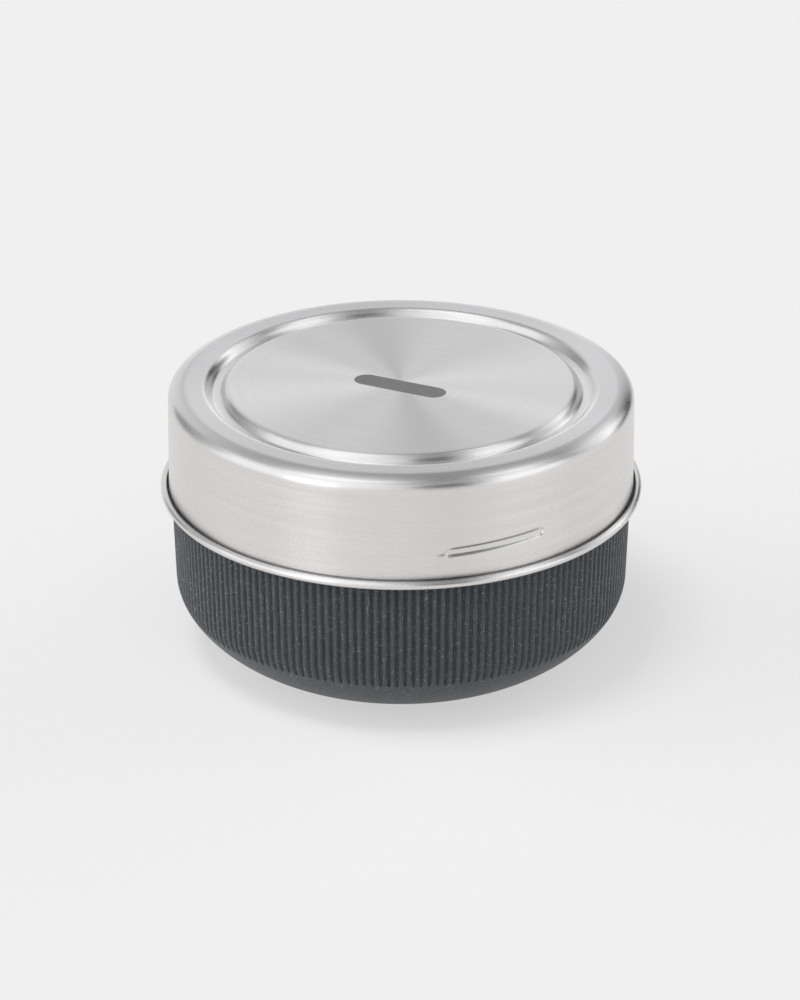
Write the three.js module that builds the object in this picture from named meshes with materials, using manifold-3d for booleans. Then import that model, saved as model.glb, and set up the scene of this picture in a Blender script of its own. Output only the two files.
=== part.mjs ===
// A lunch bowl: a ribbed outer bowl with a steel bowl inside it, closed by a pressed steel lid
// that twists down on three short thread ramps. Millimetres, +Z up, the origin on the floor
// under the middle of the foot, the front towards -Y.

import * as THREE from 'three';
import { mergeVertices } from 'three/addons/utils/BufferGeometryUtils.js';
import Module from 'manifold-3d';

// Fits between pieces
const seatGap = 0.3;          // between pieces that rest on each other
const linerGap = 0.5;         // between the inner bowl and the outer bowl around it
const rimGap = 0.35;          // between the lid's bead and the shoulder under it
const lipGap = 0.4;           // between the seal's lip and the inner bowl's wall
const threadGap = 0.35;       // around the lugs and the ramps that they slide under

// Outer bowl
const neckRadius = 74.6;      // outside of the neck
const neckWall = 2.2;
const neckHeight = 31.1;      // from the shoulder to the neck's top edge
const neckEdge = 0.5;         // chamfer round the neck's top edge
const shoulderWidth = 1.8;    // ledge from the neck out to the rib crests
const shoulderEdge = 0.5;     // chamfer round the shoulder
const bodyHeight = 54.9;      // from the floor to the shoulder
const wallDraft = 0.75;       // how far the wall closes in from its top to its curve
const curveHeight = 24.9;     // where the wall begins to curve in
const curveWallPull = 12.5;   // how far the curve holds to the wall
const curveFootPull = 8.6;    // how far the curve holds to the floor
const footRadius = 48;        // where the curve meets the floor
const footRingWidth = 7;
const footRecess = 0.8;       // hollow inside the foot ring
const floorThickness = 2.4;
const ribCount = 180;
const ribDepth = 0.95;
const ribStart = 18;          // height of the ribs' lower ends
const ribFade = 2;            // height over which the ribs grow to their full depth

// Thread
const lugCount = 3;
const lugAngle = -67;         // direction of the first lug, from +X, in degrees
const lugSpan = 26;           // in degrees
const lugTaper = 2;           // sloped end of a lug, in degrees
const lugHeight = 11.85;      // middle of a lug above the lid's lowest edge
const lugFlat = 2.2;          // width of a lug's inner face
const rampSpan = 72;          // in degrees
const rampTaper = 6;          // sloped end of a ramp, in degrees
const rampLead = 6;           // middle of a ramp past the middle of its lug, in degrees
const rampDepth = 1.25;       // how far a ramp stands out from the neck
const rampCrest = 1.6;        // width of a ramp's outer face
const threadRise = 3.5;       // climb of the thread for each radian
const threadFlank = 0.45;     // how much a flank slopes for each millimetre of its depth

// Lid
const lidSheet = 0.5;
const skirtDraft = 0.3;       // how far the skirt opens out from its top to its bead
const curlRadius = 1.75;      // outside of the rolled bead
const curlTurn = 285;         // how far the sheet rolls round, in degrees
const lidShoulder = 5;        // outside rounding between the skirt and the top
const rimFlat = 7.6;          // flat ring between that rounding and the channel
const channelWidth = 6.5;
const channelDepth = 2.8;
const channelDraft = 1.8;     // how far each channel wall leans
const foldRadius = 2.2;       // bends of the channel, at the middle of the sheet

// Lid seal
const sealThickness = 2.6;
const sealLipDepth = 1.2;
const sealLipWidth = 1.2;
const sealLipTaper = 0.2;     // how far each side of the lip slopes in

// Inner bowl and its gasket
const linerSheet = 0.5;
const flangeInset = 0.2;      // edge of the flange inside the neck's outside
const flangeBend = 1;         // bend under the flange, at the middle of the sheet
const gasketThickness = 1;
const gasketInset = 0.2;      // gasket in from both edges of the neck's top

// Smoothness
const segments = 48;          // facets round a turned piece
const curveSteps = 7;         // steps down the bowl's curve
const foldSteps = 2;          // steps round a bend of the sheet
const shoulderSteps = 4;      // steps round the lid's shoulder
const curlSteps = 8;          // steps round the bead
const lugStep = 2;            // degrees for each step along a lug
const rampStep = 3;           // degrees for each step along a ramp
const weld = 1e-4;            // points closer than this are one
const overrun = 1;            // how far a cutter, or a piece being joined, reaches past a face

// Places that follow from those sizes
const wallRadius = neckRadius + shoulderWidth;
const cavityRadius = neckRadius - neckWall;
const neckTop = bodyHeight + neckHeight;
const floorTop = footRecess + floorThickness;
const gasketBase = neckTop + seatGap;
const flangeBase = gasketBase + gasketThickness + seatGap;
const flangeTop = flangeBase + linerSheet;
const flangeRadius = neckRadius - flangeInset;
const linerRadius = cavityRadius - linerGap;
const lidBase = bodyHeight + rimGap;
const lidHeight = flangeTop + seatGap + sealThickness + seatGap + lidSheet - lidBase;
const rampTip = neckRadius + rampDepth;
const lugTip = neckRadius + threadGap;
const skirtInside = rampTip + threadGap;
const channelOutside = skirtInside + lidSheet - lidShoulder - rimFlat;
const discRadius = channelOutside - channelWidth;

const wasm = await Module();
wasm.setup();

const point = (r, z) => new THREE.Vector2(r, z);
const { degToRad, lerp, clamp } = THREE.MathUtils;

/** Turns a closed geometry into a solid that can be joined and cut. */
function toSolid(geometry) {
  geometry.deleteAttribute('normal');
  geometry.deleteAttribute('uv');
  const merged = mergeVertices(geometry, weld);
  const corners = merged.index.array;
  const triangles = [];
  for (let i = 0; i < corners.length; i += 3) {
    const [a, b, c] = corners.slice(i, i + 3);
    if (a !== b && b !== c && c !== a) triangles.push(a, b, c);
  }
  return new wasm.Manifold(new wasm.Mesh({
    numProp: 3,
    vertProperties: merged.attributes.position.array,
    triVerts: new Uint32Array(triangles),
  }));
}

/** Turns a solid into a named mesh. */
function toMesh(name, solid, material) {
  const { vertProperties, triVerts } = solid.getMesh();
  const geometry = new THREE.BufferGeometry();
  geometry.setAttribute('position', new THREE.BufferAttribute(vertProperties, 3));
  geometry.setIndex(new THREE.BufferAttribute(triVerts, 1));
  geometry.computeVertexNormals();
  const mesh = new THREE.Mesh(geometry, material);
  mesh.name = name;
  return mesh;
}

/** Turns an outline of radii and heights round the Z axis. */
function revolve(outline) {
  const ring = THREE.ShapeUtils.area(outline) > 0 ? [...outline] : [...outline].reverse();
  if (ring[0].x > 0) ring.push(ring[0]);
  const geometry = new THREE.LatheGeometry(ring, segments);
  geometry.rotateX(Math.PI / 2);
  return toSolid(geometry);
}

/** Skins a row of rings, whose points may differ in number, and caps both ends. */
function loft(rings) {
  const points = rings.flat();
  const index = [];
  let first = 0;
  for (let k = 0; k + 1 < rings.length; k += 1) {
    const count = rings[k].length;
    const nextCount = rings[k + 1].length;
    const lower = (i) => first + (i % count);
    const upper = (j) => first + count + (j % nextCount);
    let i = 0;
    let j = 0;
    while (i < count || j < nextCount) {
      if ((i + 1) * nextCount <= (j + 1) * count) {
        index.push(lower(i), lower(i + 1), upper(j));
        i += 1;
      } else {
        index.push(lower(i), upper(j + 1), upper(j));
        j += 1;
      }
    }
    first += count;
  }
  const cap = (ring, start, turn) => {
    const centre = points.length;
    const sum = ring.reduce((total, corner) => total.add(corner), new THREE.Vector3());
    points.push(sum.divideScalar(ring.length));
    ring.forEach((corner, i) => {
      const edge = [start + i, start + ((i + 1) % ring.length)];
      index.push(centre, ...(turn ? edge.reverse() : edge));
    });
  };
  cap(rings[0], 0, true);
  cap(rings.at(-1), first, false);
  const geometry = new THREE.BufferGeometry().setFromPoints(points);
  geometry.setIndex(index);
  return toSolid(geometry);
}

/** Points of an arc in the plane of radii and heights. */
function arc(centre, radius, from, to, steps, clockwise = false) {
  return new THREE.EllipseCurve(centre.x, centre.y, radius, radius, from, to, clockwise).getPoints(steps);
}

/** Points of a bend between two straight runs, limited by the shorter of them. */
function fold(before, corner, after, radius, steps = foldSteps) {
  const back = before.clone().sub(corner);
  const on = after.clone().sub(corner);
  const room = Math.min(back.length(), on.length()) / 2;
  back.normalize();
  on.normalize();
  const half = Math.acos(back.dot(on)) / 2;
  const reach = Math.min(radius / Math.tan(half), room);
  const inward = back.clone().add(on).normalize();
  const centre = corner.clone().addScaledVector(inward, reach / Math.cos(half));
  const from = corner.clone().addScaledVector(back, reach).sub(centre).angle();
  const to = corner.clone().addScaledVector(on, reach).sub(centre).angle();
  return arc(centre, reach * Math.tan(half), from, to, steps, back.cross(on) > 0);
}

/** The outline of a sheet of even thickness that follows a line. */
function sheetOutline(line, thickness) {
  const normals = line.slice(1).map((end, i) => {
    const along = end.clone().sub(line[i]).normalize();
    return point(-along.y, along.x);
  });
  const side = (offset) => line.map((spot, i) => {
    const before = normals[Math.max(i - 1, 0)];
    const after = normals[Math.min(i, normals.length - 1)];
    const mitre = before.clone().add(after).normalize();
    return spot.clone().addScaledVector(mitre, offset / mitre.dot(before));
  });
  return [...side(thickness / 2), ...side(-thickness / 2).reverse()];
}

/** A bar along the thread, with tapered ends: section gives its corners for a share of its depth. */
function threadBar(middle, height, span, taper, step, section) {
  const steps = Math.ceil(span / step);
  const rings = [];
  for (let i = 0; i <= steps; i += 1) {
    const offset = lerp(-span / 2, span / 2, i / steps);
    const angle = degToRad(middle + offset);
    const depth = clamp((span / 2 - Math.abs(offset)) / taper, 0, 1);
    const lift = height + threadRise * degToRad(offset);
    rings.push(section(depth).map(([r, z]) => (
      new THREE.Vector3(r * Math.cos(angle), r * Math.sin(angle), z + lift)
    )));
  }
  return loft(rings);
}

/** Corners of a bar's section from an inner to an outer radius, with half its width at each. */
function barSection(inner, innerHalf, outer, outerHalf) {
  return [[inner, -innerHalf], [inner, innerHalf], [outer, outerHalf], [outer, -outerHalf]];
}

/** The bowl's curve from its foot up to its wall, for a given wall, foot and floor. */
function bowlCurve(wall, foot, floor) {
  return new THREE.CubicBezierCurve(
    point(foot, floor),
    point(foot + curveFootPull, floor),
    point(wall, curveHeight - curveWallPull),
    point(wall, curveHeight),
  ).getPoints(curveSteps);
}

/** Outside radius of the outer bowl, at its rib crests, for a height above the curve's foot. */
function crestRadius(curve, z) {
  if (z >= curveHeight) {
    return lerp(wallRadius - wallDraft, wallRadius, (z - curveHeight) / (bodyHeight - curveHeight));
  }
  const i = curve.findIndex((spot) => spot.y > z);
  const share = (z - curve[i - 1].y) / (curve[i].y - curve[i - 1].y);
  return lerp(curve[i - 1].x, curve[i].x, share);
}

/** The outer bowl's solid body, smooth at the foot and ribbed from there to the shoulder. */
function ribbedBody() {
  const curve = bowlCurve(wallRadius - wallDraft, footRadius, 0);
  const ring = (count, z, radiusOf) => Array.from({ length: count }, (_, i) => {
    const angle = (2 * Math.PI * i) / count;
    const radius = radiusOf(i);
    return new THREE.Vector3(radius * Math.cos(angle), radius * Math.sin(angle), z);
  });
  const smooth = curve
    .filter((spot) => spot.y < ribStart - ribFade / 2)
    .map((spot) => ring(segments, spot.y, () => spot.x));
  const ribFull = ribStart + ribFade;
  const heights = [ribStart, ribFull, Math.max(curveHeight, ribFull + ribFade), bodyHeight - shoulderEdge];
  const ribbed = heights.map((z) => {
    const crest = crestRadius(curve, z);
    const depth = z > ribStart ? ribDepth : 0;
    return ring(2 * ribCount, z, (i) => crest - (i % 2) * depth);
  });
  const top = ring(2 * ribCount, bodyHeight, (i) => wallRadius - shoulderEdge - (i % 2) * ribDepth);
  return loft([...smooth, ...ribbed, top]);
}

/** The three ramps on the neck that draw the lid down. */
function threadRamps() {
  const root = neckRadius - neckWall / 2;
  const overLug = threadGap + threadFlank * (rampTip - lugTip) + (lugFlat + rampCrest) / 2;
  const height = lidBase + lugHeight + overLug + threadRise * degToRad(rampLead);
  const halfAt = (r) => rampCrest / 2 + threadFlank * (rampTip - r);
  const section = (depth) => {
    const tip = lerp((root + neckRadius) / 2, rampTip, depth);
    return barSection(root, halfAt(root), tip, halfAt(tip));
  };
  return lugAngles().map((angle) => (
    threadBar(angle + rampLead, height, rampSpan, rampTaper, rampStep, section)
  ));
}

/** Directions of the lugs, in degrees. */
function lugAngles() {
  return Array.from({ length: lugCount }, (_, i) => lugAngle + (360 * i) / lugCount);
}

function outerBowl() {
  const neck = revolve([
    point(0, bodyHeight - overrun),
    point(neckRadius, bodyHeight - overrun),
    point(neckRadius, neckTop - neckEdge),
    point(neckRadius - neckEdge, neckTop),
    point(0, neckTop),
  ]);
  const cavity = revolve([
    point(0, floorTop),
    ...bowlCurve(cavityRadius - wallDraft, footRadius, floorTop),
    point(cavityRadius, neckTop),
    point(cavityRadius, neckTop + overrun),
    point(0, neckTop + overrun),
  ]);
  const recess = revolve([
    point(0, -overrun),
    point(footRadius - footRingWidth, -overrun),
    point(footRadius - footRingWidth, footRecess),
    point(0, footRecess),
  ]);
  let solid = ribbedBody().add(neck).subtract(cavity).subtract(recess);
  threadRamps().forEach((ramp) => { solid = solid.add(ramp); });
  return solid;
}

function innerBowl() {
  const middle = linerSheet / 2;
  const wall = linerRadius - middle;
  const floor = floorTop + linerGap + middle;
  const curve = bowlCurve(wall - wallDraft, footRadius, floor);
  const brim = point(wall, flangeBase + middle);
  const edge = point(flangeRadius, flangeBase + middle);
  const line = [point(0, floor), ...curve, ...fold(curve.at(-1), brim, edge, flangeBend), edge];
  return revolve(sheetOutline(line, linerSheet));
}

function linerGasket() {
  const inside = cavityRadius + gasketInset;
  const outside = neckRadius - gasketInset - neckEdge;
  return revolve([
    point(inside, gasketBase),
    point(outside, gasketBase),
    point(outside, gasketBase + gasketThickness),
    point(inside, gasketBase + gasketThickness),
  ]);
}

/** Inside radius of the lid's skirt at a height above the lid's lowest edge. */
function skirtInsideAt(z) {
  return lerp(skirtInside + skirtDraft, skirtInside, (z - curlRadius) / (lidHeight - curlRadius));
}

/** The middle of the lid's sheet, from the axis across the top, down the skirt and round the bead. */
function lidLine() {
  const middle = lidSheet / 2;
  const top = lidHeight - middle;
  const channelFloor = top - channelDepth;
  const bends = [
    point(discRadius - middle, top),
    point(discRadius - middle + channelDraft, channelFloor),
    point(channelOutside + middle - channelDraft, channelFloor),
    point(channelOutside + middle, top),
  ];
  const brow = point(skirtInside + middle, top);
  const hem = point(skirtInside + skirtDraft + middle, curlRadius);
  const run = [point(0, top), ...bends, brow];
  const folds = bends.map((bend, i) => fold(run[i], bend, run[i + 2], foldRadius));
  const shoulder = fold(bends.at(-1), brow, hem, lidShoulder - middle, shoulderSteps);
  const curlCentre = point(skirtInside + skirtDraft + curlRadius, curlRadius);
  const curlEnd = Math.PI + degToRad(curlTurn);
  const curl = arc(curlCentre, curlRadius - middle, Math.PI, curlEnd, curlSteps);
  return [run[0], ...folds.flat(), ...shoulder, ...curl];
}

/** One lug of the lid: the sheet pushed in, as a bar to add inside and a groove to cut outside. */
function lidLug(angle) {
  const inside = skirtInsideAt(lugHeight);
  const outside = inside + lidSheet;
  const halfAt = (r) => lugFlat / 2 + threadFlank * (r - lugTip);
  const grooveFloor = lugTip + lidSheet;
  const flankSheet = lidSheet * Math.hypot(1, threadFlank);
  const barSectionAt = (depth) => {
    const root = inside + lidSheet / 2;
    const tip = lerp(inside, lugTip, depth);
    return barSection(tip, halfAt(tip), root, halfAt(root));
  };
  const grooveSectionAt = (depth) => {
    const mouth = outside + overrun;
    const floor = lerp(outside, grooveFloor, depth);
    return barSection(floor, halfAt(floor) - flankSheet, mouth, halfAt(mouth) - flankSheet);
  };
  return {
    bar: threadBar(angle, lugHeight, lugSpan, lugTaper, lugStep, barSectionAt),
    groove: threadBar(angle, lugHeight, lugSpan, lugTaper, lugStep, grooveSectionAt),
  };
}

function lidShell() {
  let solid = revolve(sheetOutline(lidLine(), lidSheet));
  lugAngles().map(lidLug).forEach(({ bar, groove }) => {
    solid = solid.add(bar).subtract(groove);
  });
  return solid;
}

function lidSeal() {
  const ceiling = lidHeight - lidSheet;
  const top = ceiling - seatGap;
  const base = top - sealThickness;
  const lipBase = base - sealLipDepth;
  const lipOutside = linerRadius - linerSheet - lipGap;
  const lipInside = lipOutside - sealLipWidth;
  const bend = foldRadius - lidSheet / 2;
  const innerBend = point(channelOutside + lidSheet + bend, ceiling - bend);
  const shoulder = point(skirtInside + lidSheet - lidShoulder, lidHeight - lidShoulder);
  const shoulderBend = lidShoulder - lidSheet - seatGap;
  const shoulderFrom = Math.acos((flangeRadius - shoulder.x) / shoulderBend);
  return revolve([
    point(innerBend.x - bend + seatGap, base),
    point(lipInside - sealLipTaper, base),
    point(lipInside, lipBase),
    point(lipOutside - sealLipTaper, lipBase),
    point(lipOutside, base),
    point(flangeRadius, base),
    ...arc(shoulder, shoulderBend, shoulderFrom, Math.PI / 2, foldSteps),
    ...arc(innerBend, bend - seatGap, Math.PI / 2, Math.PI, foldSteps),
  ]);
}

const steel = new THREE.MeshStandardMaterial({ color: 0xc4c5c7, roughness: 0.32, metalness: 1 });
const slate = new THREE.MeshStandardMaterial({ color: 0x454a4d, roughness: 0.62, metalness: 0 });
const silicone = new THREE.MeshStandardMaterial({ color: 0x9a9d9c, roughness: 0.55, metalness: 0 });

const bowl = new THREE.Group();
bowl.add(toMesh('outer_bowl', outerBowl(), slate));
bowl.add(toMesh('inner_bowl', innerBowl(), steel));
bowl.add(toMesh('liner_gasket', linerGasket(), silicone));

const lid = new THREE.Group();
lid.position.z = lidBase;
lid.add(toMesh('lid_shell', lidShell(), steel));
lid.add(toMesh('lid_seal', lidSeal(), silicone));

const lunchBowl = new THREE.Group();
lunchBowl.add(bowl, lid);

export default lunchBowl;
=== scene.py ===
"""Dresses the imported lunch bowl: a ribbed slate bowl, the steel bowl inside it and a steel twist lid.

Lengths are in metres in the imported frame: +Z up, the origin on the floor under the foot, the front
towards -Y. Directions round the bowl are in degrees from +X.
"""

import logging
import math
from dataclasses import dataclass
from enum import Enum
from typing import Callable, Sequence

import bmesh
import bpy
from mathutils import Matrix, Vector


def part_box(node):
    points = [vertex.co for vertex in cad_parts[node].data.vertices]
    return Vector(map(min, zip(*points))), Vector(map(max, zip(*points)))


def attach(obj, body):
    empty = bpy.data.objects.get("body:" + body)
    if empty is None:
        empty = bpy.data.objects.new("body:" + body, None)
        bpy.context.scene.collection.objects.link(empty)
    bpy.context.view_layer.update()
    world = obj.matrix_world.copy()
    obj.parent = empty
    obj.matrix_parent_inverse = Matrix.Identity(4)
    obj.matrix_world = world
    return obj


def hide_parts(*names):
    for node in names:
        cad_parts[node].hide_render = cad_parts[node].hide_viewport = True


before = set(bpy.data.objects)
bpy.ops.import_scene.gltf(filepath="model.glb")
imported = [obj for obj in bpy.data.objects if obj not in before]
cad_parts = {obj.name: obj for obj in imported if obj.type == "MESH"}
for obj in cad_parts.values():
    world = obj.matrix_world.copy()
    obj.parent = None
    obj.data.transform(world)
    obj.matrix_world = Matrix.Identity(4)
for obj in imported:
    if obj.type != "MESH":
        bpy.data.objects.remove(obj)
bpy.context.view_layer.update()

LOG = logging.getLogger("lunch_bowl")

Spot = tuple[float, float]
Span = tuple[float, float]
Corner = tuple[float, float, float]
Colour = tuple[float, float, float, float]
Feed = bpy.types.NodeSocket | float | Sequence[float]

MM = 0.001
# Points that lie closer than this are one point.
WELD = 0.002 * MM
# How far from a bend a straight run gets a supporting row, and how short a run gets none.
HOLD = 0.25 * MM
SHORT = 3 * HOLD
# A row with a smaller radius than this is one point on the axis.
POLE = 0.01 * MM
# How finely bends are divided.
BEND_STEP = math.radians(7.5)
# Degrees between the columns of a plain wedge, and how far apart two columns still count as one.
COLUMN = 2.0
SAME_COLUMN = 1e-6
# Edges that turn by more than this stay sharp.
SHARP = math.radians(42)
# The attribute that says how much shade is painted into the steel's colour.
PAINTED_SHADE = "shade_paint"
# The range that soft noise mostly keeps to, and the full range of a share.
NOISE: Span = (0.3, 0.7)
FULL: Span = (0.0, 1.0)
WHITE: Colour = (1.0, 1.0, 1.0, 1.0)


class Body(Enum):
    """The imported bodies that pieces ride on."""

    BOWL = "bowl"
    SEAL = "seal"
    LID = "lid"


class Brushing(Enum):
    """How closely the lines of brushed steel lie, as lines for each metre across them."""

    FINE = 3400.0
    SATIN = 2100.0


@dataclass(frozen=True)
class Label:
    """One piece's own name, and those of the node, body and material slot that it stands for."""

    piece: str
    node: str
    body: Body
    slot: str


def lerp(low: float, high: float, share: float) -> float:
    """The value a share of the way from low to high."""
    return low + (high - low) * share


def clamp(value: float, low: float = 0.0, high: float = 1.0) -> float:
    """The value, kept between low and high."""
    return max(low, min(high, value))


def ease(share: float) -> float:
    """A share from 0 to 1 with soft ends."""
    kept = clamp(share)
    return kept * kept * (3 - 2 * kept)


def arc(centre: Vector, radius: float, start: float, end: float) -> list[Spot]:
    """Points of an arc in the plane of radius and height.

    Args:
        centre: Middle of the arc.
        radius: Its radius.
        start: Direction of its first point, in radians.
        end: Direction of its last point, in radians.

    Returns:
        Its points, both ends included.
    """
    steps = max(2, math.ceil(abs(end - start) / BEND_STEP))
    turns = [lerp(start, end, i / steps) for i in range(steps + 1)]
    return [(centre.x + radius * math.cos(turn), centre.y + radius * math.sin(turn)) for turn in turns]


def bend(before: Corner, corner: Corner, after: Corner) -> list[Spot]:
    """Points of the round bend at a corner between two straight runs.

    Args:
        before: The corner before it.
        corner: Its radius, its height and the radius of its bend, which may be 0.
        after: The corner after it.

    Returns:
        The bend's points, or the corner alone where it is sharp.
    """
    here = Vector(corner[:2])
    if corner[2] == 0:
        return [corner[:2]]
    back = Vector(before[:2]) - here
    on = Vector(after[:2]) - here
    room = min(back.length, on.length) / 2
    back.normalize()
    on.normalize()
    half = back.angle(on) / 2
    reach = min(corner[2] / math.tan(half), room)
    centre = here + (back + on).normalized() * (reach / math.cos(half))
    first = here + back * reach - centre
    last = here + on * reach - centre
    start = math.atan2(first.y, first.x)
    turn = math.atan2(last.y, last.x) - start
    turn = (turn + math.pi) % (2 * math.pi) - math.pi
    return arc(centre, reach * math.tan(half), start, start + turn)


def supports(start: Spot, end: Spot) -> list[Spot]:
    """Two points near the ends of a straight run that keep its shading flat, or none on a short run."""
    run = Vector(end) - Vector(start)
    if run.length < SHORT:
        return []
    step = run.normalized() * HOLD
    return [tuple(Vector(start) + step), tuple(Vector(end) - step)]


def rounded_run(corners: Sequence[Corner]) -> list[Spot]:
    """A line through corners, with its bends rounded.

    Args:
        corners: Radius, height and bend radius of each corner, the ends included.

    Returns:
        The line's points.
    """
    bends = [bend(*three) for three in zip(corners, corners[1:], corners[2:])]
    line = [corners[0][:2]]
    for turn in [*bends, [corners[-1][:2]]]:
        line += supports(line[-1], turn[0])
        line += turn
    return line


def rounded_loop(corners: Sequence[Corner]) -> list[Spot]:
    """A closed line through corners, with its bends rounded and its first point repeated at its end."""
    following = [*corners[1:], corners[0]]
    bends = [bend(*three) for three in zip([corners[-1], *corners], corners, following)]
    line = list(bends[0])
    for turn in [*bends[1:], bends[0][:1]]:
        line += supports(line[-1], turn[0])
        line += turn
    return line


def sheet_sides(line: Sequence[Spot], thickness: float) -> tuple[list[Spot], list[Spot]]:
    """Both faces of a sheet of even thickness that follows a line.

    Args:
        line: The middle of the sheet.
        thickness: Its thickness.

    Returns:
        The face on the line's left and the face on its right, point for point.
    """
    normals = []
    for start, end in zip(line, line[1:]):
        along = (Vector(end) - Vector(start)).normalized()
        normals.append(Vector((-along.y, along.x)))
    befores = [normals[0], *normals]
    afters = [*normals, normals[-1]]
    left = []
    right = []
    for spot, before, after in zip(line, befores, afters):
        mitre = (before + after).normalized()
        offset = mitre * (thickness / 2 / mitre.dot(before))
        left.append(tuple(Vector(spot) + offset))
        right.append(tuple(Vector(spot) - offset))
    return left, right


def radius_at(line: Sequence[Spot], height: float) -> float:
    """The radius of a rising line of points at a height on it."""
    for low, high in zip(line, line[1:]):
        if low[1] <= height <= high[1]:
            return lerp(low[0], high[0], (height - low[1]) / (high[1] - low[1]))
    return line[-1][0]


@dataclass(frozen=True)
class Row:
    """One row of points round a wedge: its directions, with its radius and height in each of them."""

    angles: tuple[float, ...]
    at: Callable[[float], Spot]


def plain_rows(angles: tuple[float, ...], spots: Sequence[Spot]) -> list[Row]:
    """Rows that keep one radius and height all along, one for each spot."""
    return [Row(angles, lambda _angle, spot=spot: spot) for spot in spots]


@dataclass(frozen=True)
class Spacing:
    """Evenly spaced places: the first of them, the step to the next and how many there are."""

    first: float
    step: float
    count: int

    def places(self, start: float = 0.0) -> list[float]:
        """The places, counted from a start."""
        return [start + self.first + self.step * i for i in range(self.count)]


def columns(middle: float, span: float) -> tuple[float, ...]:
    """Evenly spaced directions across a wedge, its edges included."""
    count = round(span / COLUMN)
    return tuple(middle + lerp(-span / 2, span / 2, i / count) for i in range(count + 1))


class Wedge:
    """A wedge of a turned skin, made from strips of rows that run with the solid on their left."""

    def __init__(self, name: str) -> None:
        """Starts an empty wedge."""
        self.name = name
        self.skin = bmesh.new()

    def strip(self, rows: Sequence[Row]) -> None:
        """Adds a strip of skin.

        Args:
            rows: Its rows, whose directions may differ in number.
        """
        rings = [self._ring(row) for row in rows]
        for (lower, low), (upper, high) in zip(zip(rows, rings), zip(rows[1:], rings[1:])):
            self._stitch(lower.angles[: len(low)], low, upper.angles[: len(high)], high)

    def mesh(self) -> bpy.types.Mesh:
        """Ends the wedge.

        Returns:
            Its mesh.
        """
        mesh = bpy.data.meshes.new(self.name)
        self.skin.to_mesh(mesh)
        self.skin.free()
        return mesh

    def _ring(self, row: Row) -> list[bmesh.types.BMVert]:
        """Makes the points of one row, or a single point where it lies on the axis."""
        spots = [(math.radians(angle), *row.at(angle)) for angle in row.angles]
        if spots[0][1] < POLE:
            spots = spots[:1]
        return [self.skin.verts.new((r * math.cos(a), r * math.sin(a), z)) for a, r, z in spots]

    def _stitch(
        self,
        low_angles: Sequence[float],
        low: Sequence[bmesh.types.BMVert],
        high_angles: Sequence[float],
        high: Sequence[bmesh.types.BMVert],
    ) -> None:
        """Fills the gap between two rows, with quads where their directions agree.

        Args:
            low_angles: Directions of the first row.
            low: Points of the first row.
            high_angles: Directions of the second row.
            high: Points of the second row.
        """
        i = 0
        j = 0
        while i + 1 < len(low) or j + 1 < len(high):
            next_low = low_angles[i + 1] if i + 1 < len(low) else math.inf
            next_high = high_angles[j + 1] if j + 1 < len(high) else math.inf
            if math.isclose(next_low, next_high, abs_tol=SAME_COLUMN):
                self.skin.faces.new((low[i], low[i + 1], high[j + 1], high[j]))
                i += 1
                j += 1
            elif next_low < next_high:
                self.skin.faces.new((low[i], low[i + 1], high[j]))
                i += 1
            else:
                self.skin.faces.new((low[i], high[j + 1], high[j]))
                j += 1


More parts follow.
